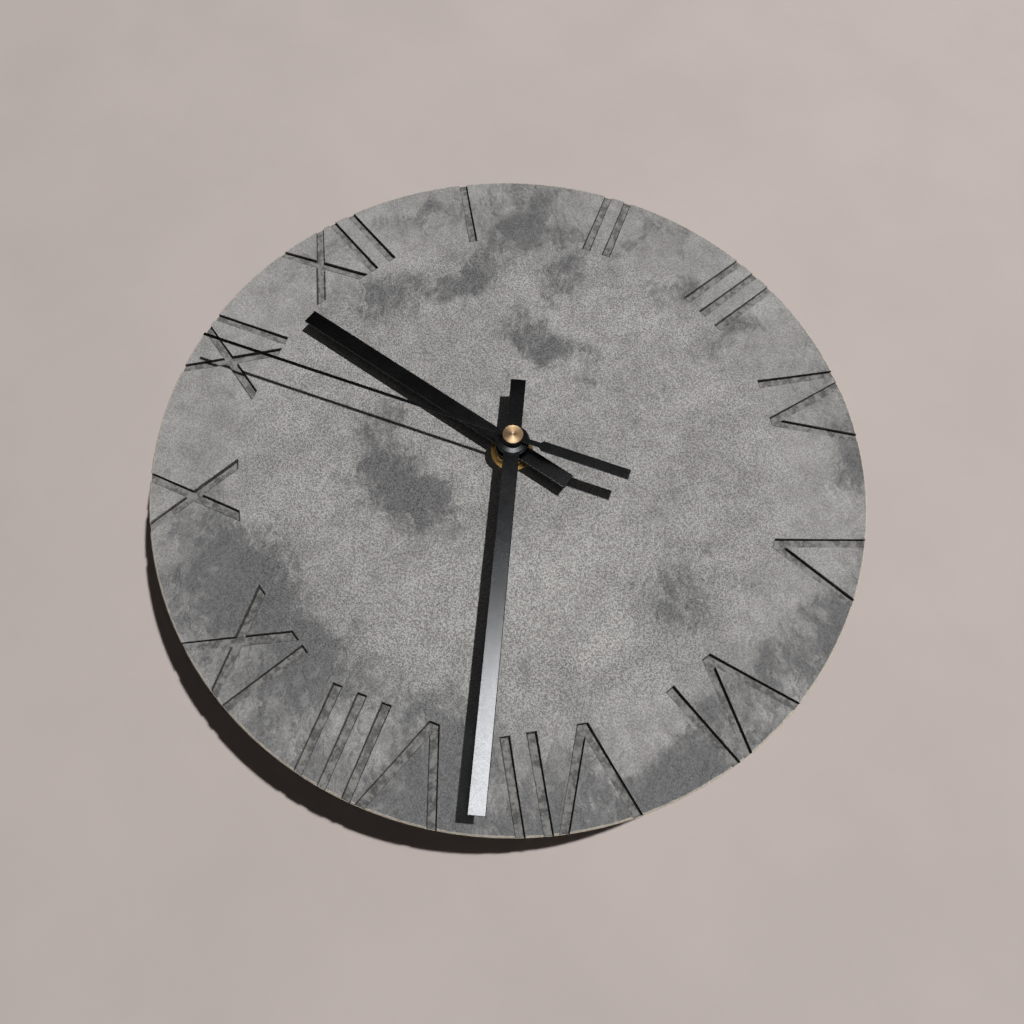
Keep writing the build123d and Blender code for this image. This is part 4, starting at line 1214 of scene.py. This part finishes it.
# --- movement
@dataclass
class Movement:
    """The case, the cell, the circuit, the motor and the gear train."""

    case: MouldedPlastic = MouldedPlastic(colour=(0.020, 0.020, 0.022), roughness=0.46)
    can: TurnedMetal = TurnedMetal(
        colour=(0.78, 0.78, 0.78), tarnish=(0.60, 0.60, 0.61), roughness=0.2, pitch=0.0006,
        tarnished=0.2,
    )
    wrap: CellWrap = CellWrap()
    case_arris: float = 0.15 * MM
    cell_arris: float = 0.12 * MM
    cell_steps: Profile = (
        (0.8, 0.25), (3.0, 0.25), (3.3, 0.0), (5.6, 0.0), (5.9, 0.25), (6.6, 0.1), (7.0, 0.25),
        (7.1, 0.55), (7.1, 25.0), (7.1, 48.75), (6.9, 49.1), (6.2, 49.2), (5.6, 48.9), (3.4, 48.9),
        (2.9, 49.05), (2.7, 50.3), (2.55, 50.5), (0.6, 50.5),
    )
    plain: tuple[tuple[str, Finish, str], ...] = (
        ("moulded_knob", MouldedPlastic(colour=(0.05, 0.05, 0.055), roughness=0.42), "setting_knob"),
        (
            "natural_acetal",
            MouldedPlastic(
                colour=(0.74, 0.71, 0.62), roughness=0.38, skin=0.0007, depth=0.000008, scuffed=0.0
            ),
            "rotor_pinion fifth_wheel second_wheel third_wheel centre_wheel motion_wheel hour_wheel"
            " train_plate setting_pinion coil_bobbin",
        ),
        (
            "spring_brass_strip",
            RolledMetal(colour=(0.74, 0.60, 0.34), second=(0.60, 0.44, 0.22), axis=LineAxis.X),
            "positive_contact negative_contact clutch_spring",
        ),
        ("board_laminate", BoardLaminate(), "circuit_board"),
        (
            "potting_resin",
            MouldedPlastic(colour=(0.012, 0.012, 0.012), roughness=0.16, skin=0.002, depth=0.00003),
            "clock_chip",
        ),
        (
            "electrical_steel_sheet",
            RolledMetal(colour=(0.42, 0.42, 0.41), second=(0.26, 0.27, 0.31), axis=LineAxis.X),
            "stator coil_core",
        ),
        ("enamelled_wire", WoundWire(), "coil_winding"),
        (
            "sintered_ferrite",
            MouldedPlastic(colour=(0.07, 0.068, 0.07), roughness=0.62, skin=0.0003, depth=0.00004),
            "rotor_magnet",
        ),
        (
            "ground_steel_arbor",
            TurnedMetal(
                colour=(0.60, 0.60, 0.60), tarnish=(0.45, 0.44, 0.43), roughness=0.22, pitch=0.00012,
                tarnished=0.15,
            ),
            "second_arbor",
        ),
        ("turned_brass_arbor", TurnedMetal(), "minute_arbor"),
    )

    def build(self) -> None:
        """Shapes the case and the cell, and dresses the whole movement."""
        shell = self.case.material("moulded_case")
        case = Workpiece.from_node("rear_case", "moulded_case")
        case.round_edges(self.case_arris, sharper_than=60.0)
        case.hand_over("clock_body", "case_plastic", shell, "rear_case")
        dress(shell, "front_cover")
        self.build_cell()
        low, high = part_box("quartz_crystal")
        dress(self.can.material("tinned_can", centre=tuple((low + high) / 2)), "quartz_crystal")
        for name, finish, nodes in self.plain:
            dress(finish.material(name), *nodes.split())

    def build_cell(self) -> None:
        """Turns and dresses the cell, which stays within the box of its CAD node."""
        low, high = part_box("battery_cell")
        widest = (high.z - low.z) / 2
        steps = ((min(radius * MM, widest), low.x + rise * MM) for radius, rise in self.cell_steps)
        cell = Workpiece.turned("wrapped_cell", Axis.X, (low + high) / 2, tuple(steps))
        wrap = self.wrap.material("cell_wrap", low=low, high=high)
        cell.round_edges(self.cell_arris, segments=3, sharper_than=25.0)
        cell.hand_over("clock_body", "cell_sleeve", wrap, "battery_cell")


# --- studio
@dataclass(frozen=True)
class Lamp:
    """A square lamp that points at the dial's middle, and what its light reaches."""

    name: str
    place: Triple
    size: float
    power: float
    colour: Triple = (1.0, 1.0, 1.0)
    diffuse: bool = True
    glossy: bool = True

    def hang(self, aim: Triple) -> None:
        """Adds the lamp to the scene.

        Args:
            aim: The point that it is turned to.
        """
        data = bpy.data.lights.new(self.name, "AREA")
        data.energy = self.power
        data.size = self.size
        data.color = self.colour
        lamp = bpy.data.objects.new(self.name, data)
        bpy.context.scene.collection.objects.link(lamp)
        lamp.location = self.place
        turn = (Vector(aim) - Vector(self.place)).to_track_quat("-Z", "Y")
        lamp.rotation_euler = turn.to_euler()
        lamp.visible_diffuse = self.diffuse
        lamp.visible_glossy = self.glossy


@dataclass
class Studio:
    """The plain wall, the lamps and the camera."""

    wall_colour: Triple = (0.532, 0.466, 0.439)
    wall_size: float = 6.0
    wall_place: Triple = (0.0, 0.0002, 0.0)
    flag_size: float = 9.0
    flag_place: Triple = (1.0, -2.6, 1.0)
    ambient: float = 0.034
    air: Triple = (1.0, 0.98, 0.96)
    backdrop: Triple = (0.47, 0.44, 0.42)
    cloth: Triple = (0.002, 0.002, 0.002)
    aim: Triple = (0.0, -0.0278, 0.0)
    camera_place: Triple = (-0.09404, -0.30881, -0.10419)
    camera_turn: Triple = (110.7516, 39.3601, -1.7361)
    camera_lens: float = 25.968
    lamps: tuple[Lamp, ...] = (
        Lamp("key_lamp", (1.80, -4.0, -0.45), 0.14, 190.0, glossy=False),
        Lamp("sheen_card", (0.018, -1.9, -0.096), 0.6, 32.0, (0.95, 0.97, 1.0), diffuse=False),
        Lamp("low_card", (-0.53, -1.53, -0.64), 0.25, 5.0, (0.62, 0.78, 1.0), diffuse=False),
        Lamp("rear_lamp", (-0.45, 1.5, 0.55), 2.0, 36.0),
    )

    def build(self) -> None:
        """Sets up the studio round the clock."""
        self.hang_wall()
        self.light_world()
        for lamp in self.lamps:
            lamp.hang(self.aim)
        self.stand_flag()
        self.set_camera()
        bpy.context.scene.view_settings.view_transform = "Standard"

    def screen(
        self, name: str, size: float, place: Triple
    ) -> tuple[bpy.types.Object, NodeSheet, bpy.types.Node]:
        """Stands a square sheet parallel to the wall.

        Args:
            name: Its name.
            size: Its side.
            place: Its centre.

        Returns:
            The sheet, and the sheet of nodes and the output of its empty material.
        """
        Workpiece.put_down()
        bpy.ops.mesh.primitive_plane_add(size=size, location=place, rotation=(math.pi / 2, 0, 0))
        square = bpy.context.object
        square.name = name
        bpy.ops.object.transform_apply(location=True, rotation=True, scale=True)
        material = bpy.data.materials.new(f"{name}_surface")
        square.data.materials.append(material)
        return square, *blank(material)

    def hang_wall(self) -> None:
        """Makes the wall behind the clock, which is clear from behind."""
        _, sheet, output = self.screen("plain_wall", self.wall_size, self.wall_place)
        sheet.here = sheet.wire("ShaderNodeTexCoord", "Object")
        tone = mottle(sheet, size=0.09, contrast=0.05)["tone"]
        matt = sheet.add("ShaderNodeBsdfDiffuse", {"Color": sheet.scaled(self.wall_colour, tone)})
        clear = sheet.add("ShaderNodeBsdfTransparent")
        behind = sheet.wire("ShaderNodeNewGeometry", "Backfacing")
        path = sheet.add("ShaderNodeLightPath").outputs
        direct = sheet.math("SUBTRACT", 1.0, path["Diffuse Depth"], clamp=True)
        share = sheet.math("MAXIMUM", behind * path["Is Camera Ray"], direct * path["Is Shadow Ray"])
        mix = sheet.add("ShaderNodeMixShader", {0: share, 1: matt.outputs[0], 2: clear.outputs[0]})
        sheet.feed(output.inputs["Surface"], mix.outputs[0])

    def stand_flag(self) -> None:
        """Stands a black flag behind the lamps, so that black metal reflects black."""
        flag, sheet, output = self.screen("black_flag", self.flag_size, self.flag_place)
        cloth = sheet.add("ShaderNodeBsdfDiffuse", {"Color": self.cloth})
        sheet.feed(output.inputs["Surface"], cloth.outputs[0])
        for ray in ("camera", "diffuse", "transmission", "volume_scatter", "shadow"):
            setattr(flag, f"visible_{ray}", False)

    def light_world(self) -> None:
        """Sets a low even light, and a pale backdrop where the camera sees past the wall."""
        world = bpy.data.worlds.new("studio_air")
        sheet, output = blank(world, "ShaderNodeOutputWorld")
        path = sheet.add("ShaderNodeLightPath").outputs
        seen = sheet.math("MAXIMUM", path["Is Camera Ray"], path["Is Glossy Ray"])
        seen = sheet.math("MAXIMUM", seen, path["Is Transmission Ray"])
        light = sheet.add("ShaderNodeBackground", {"Color": self.air, "Strength": self.ambient})
        pale = sheet.add("ShaderNodeBackground", {"Color": self.backdrop, "Strength": 1.0})
        mix = sheet.add("ShaderNodeMixShader", {0: seen, 1: light.outputs[0], 2: pale.outputs[0]})
        sheet.feed(output.inputs["Surface"], mix.outputs[0])
        bpy.context.scene.world = world

    def set_camera(self) -> None:
        """Places the camera low on the left, close to the dial."""
        data = bpy.data.cameras.new("view")
        data.lens = self.camera_lens
        data.sensor_width = 36.0
        data.clip_start = 0.01
        camera = bpy.data.objects.new("view", data)
        bpy.context.scene.collection.objects.link(camera)
        camera.location = self.camera_place
        camera.rotation_euler = tuple(math.radians(turn) for turn in self.camera_turn)
        bpy.context.scene.camera = camera


def main() -> None:
    """Builds the clock and its studio, and reports each piece."""
    logging.basicConfig(level=logging.INFO, format="%(name)s: %(message)s")
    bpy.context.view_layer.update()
    StoneDial().build()
    HandSet().build()
    DialClamp().build()
    Movement().build()
    Studio().build()


if __name__ == "__main__":
    main()
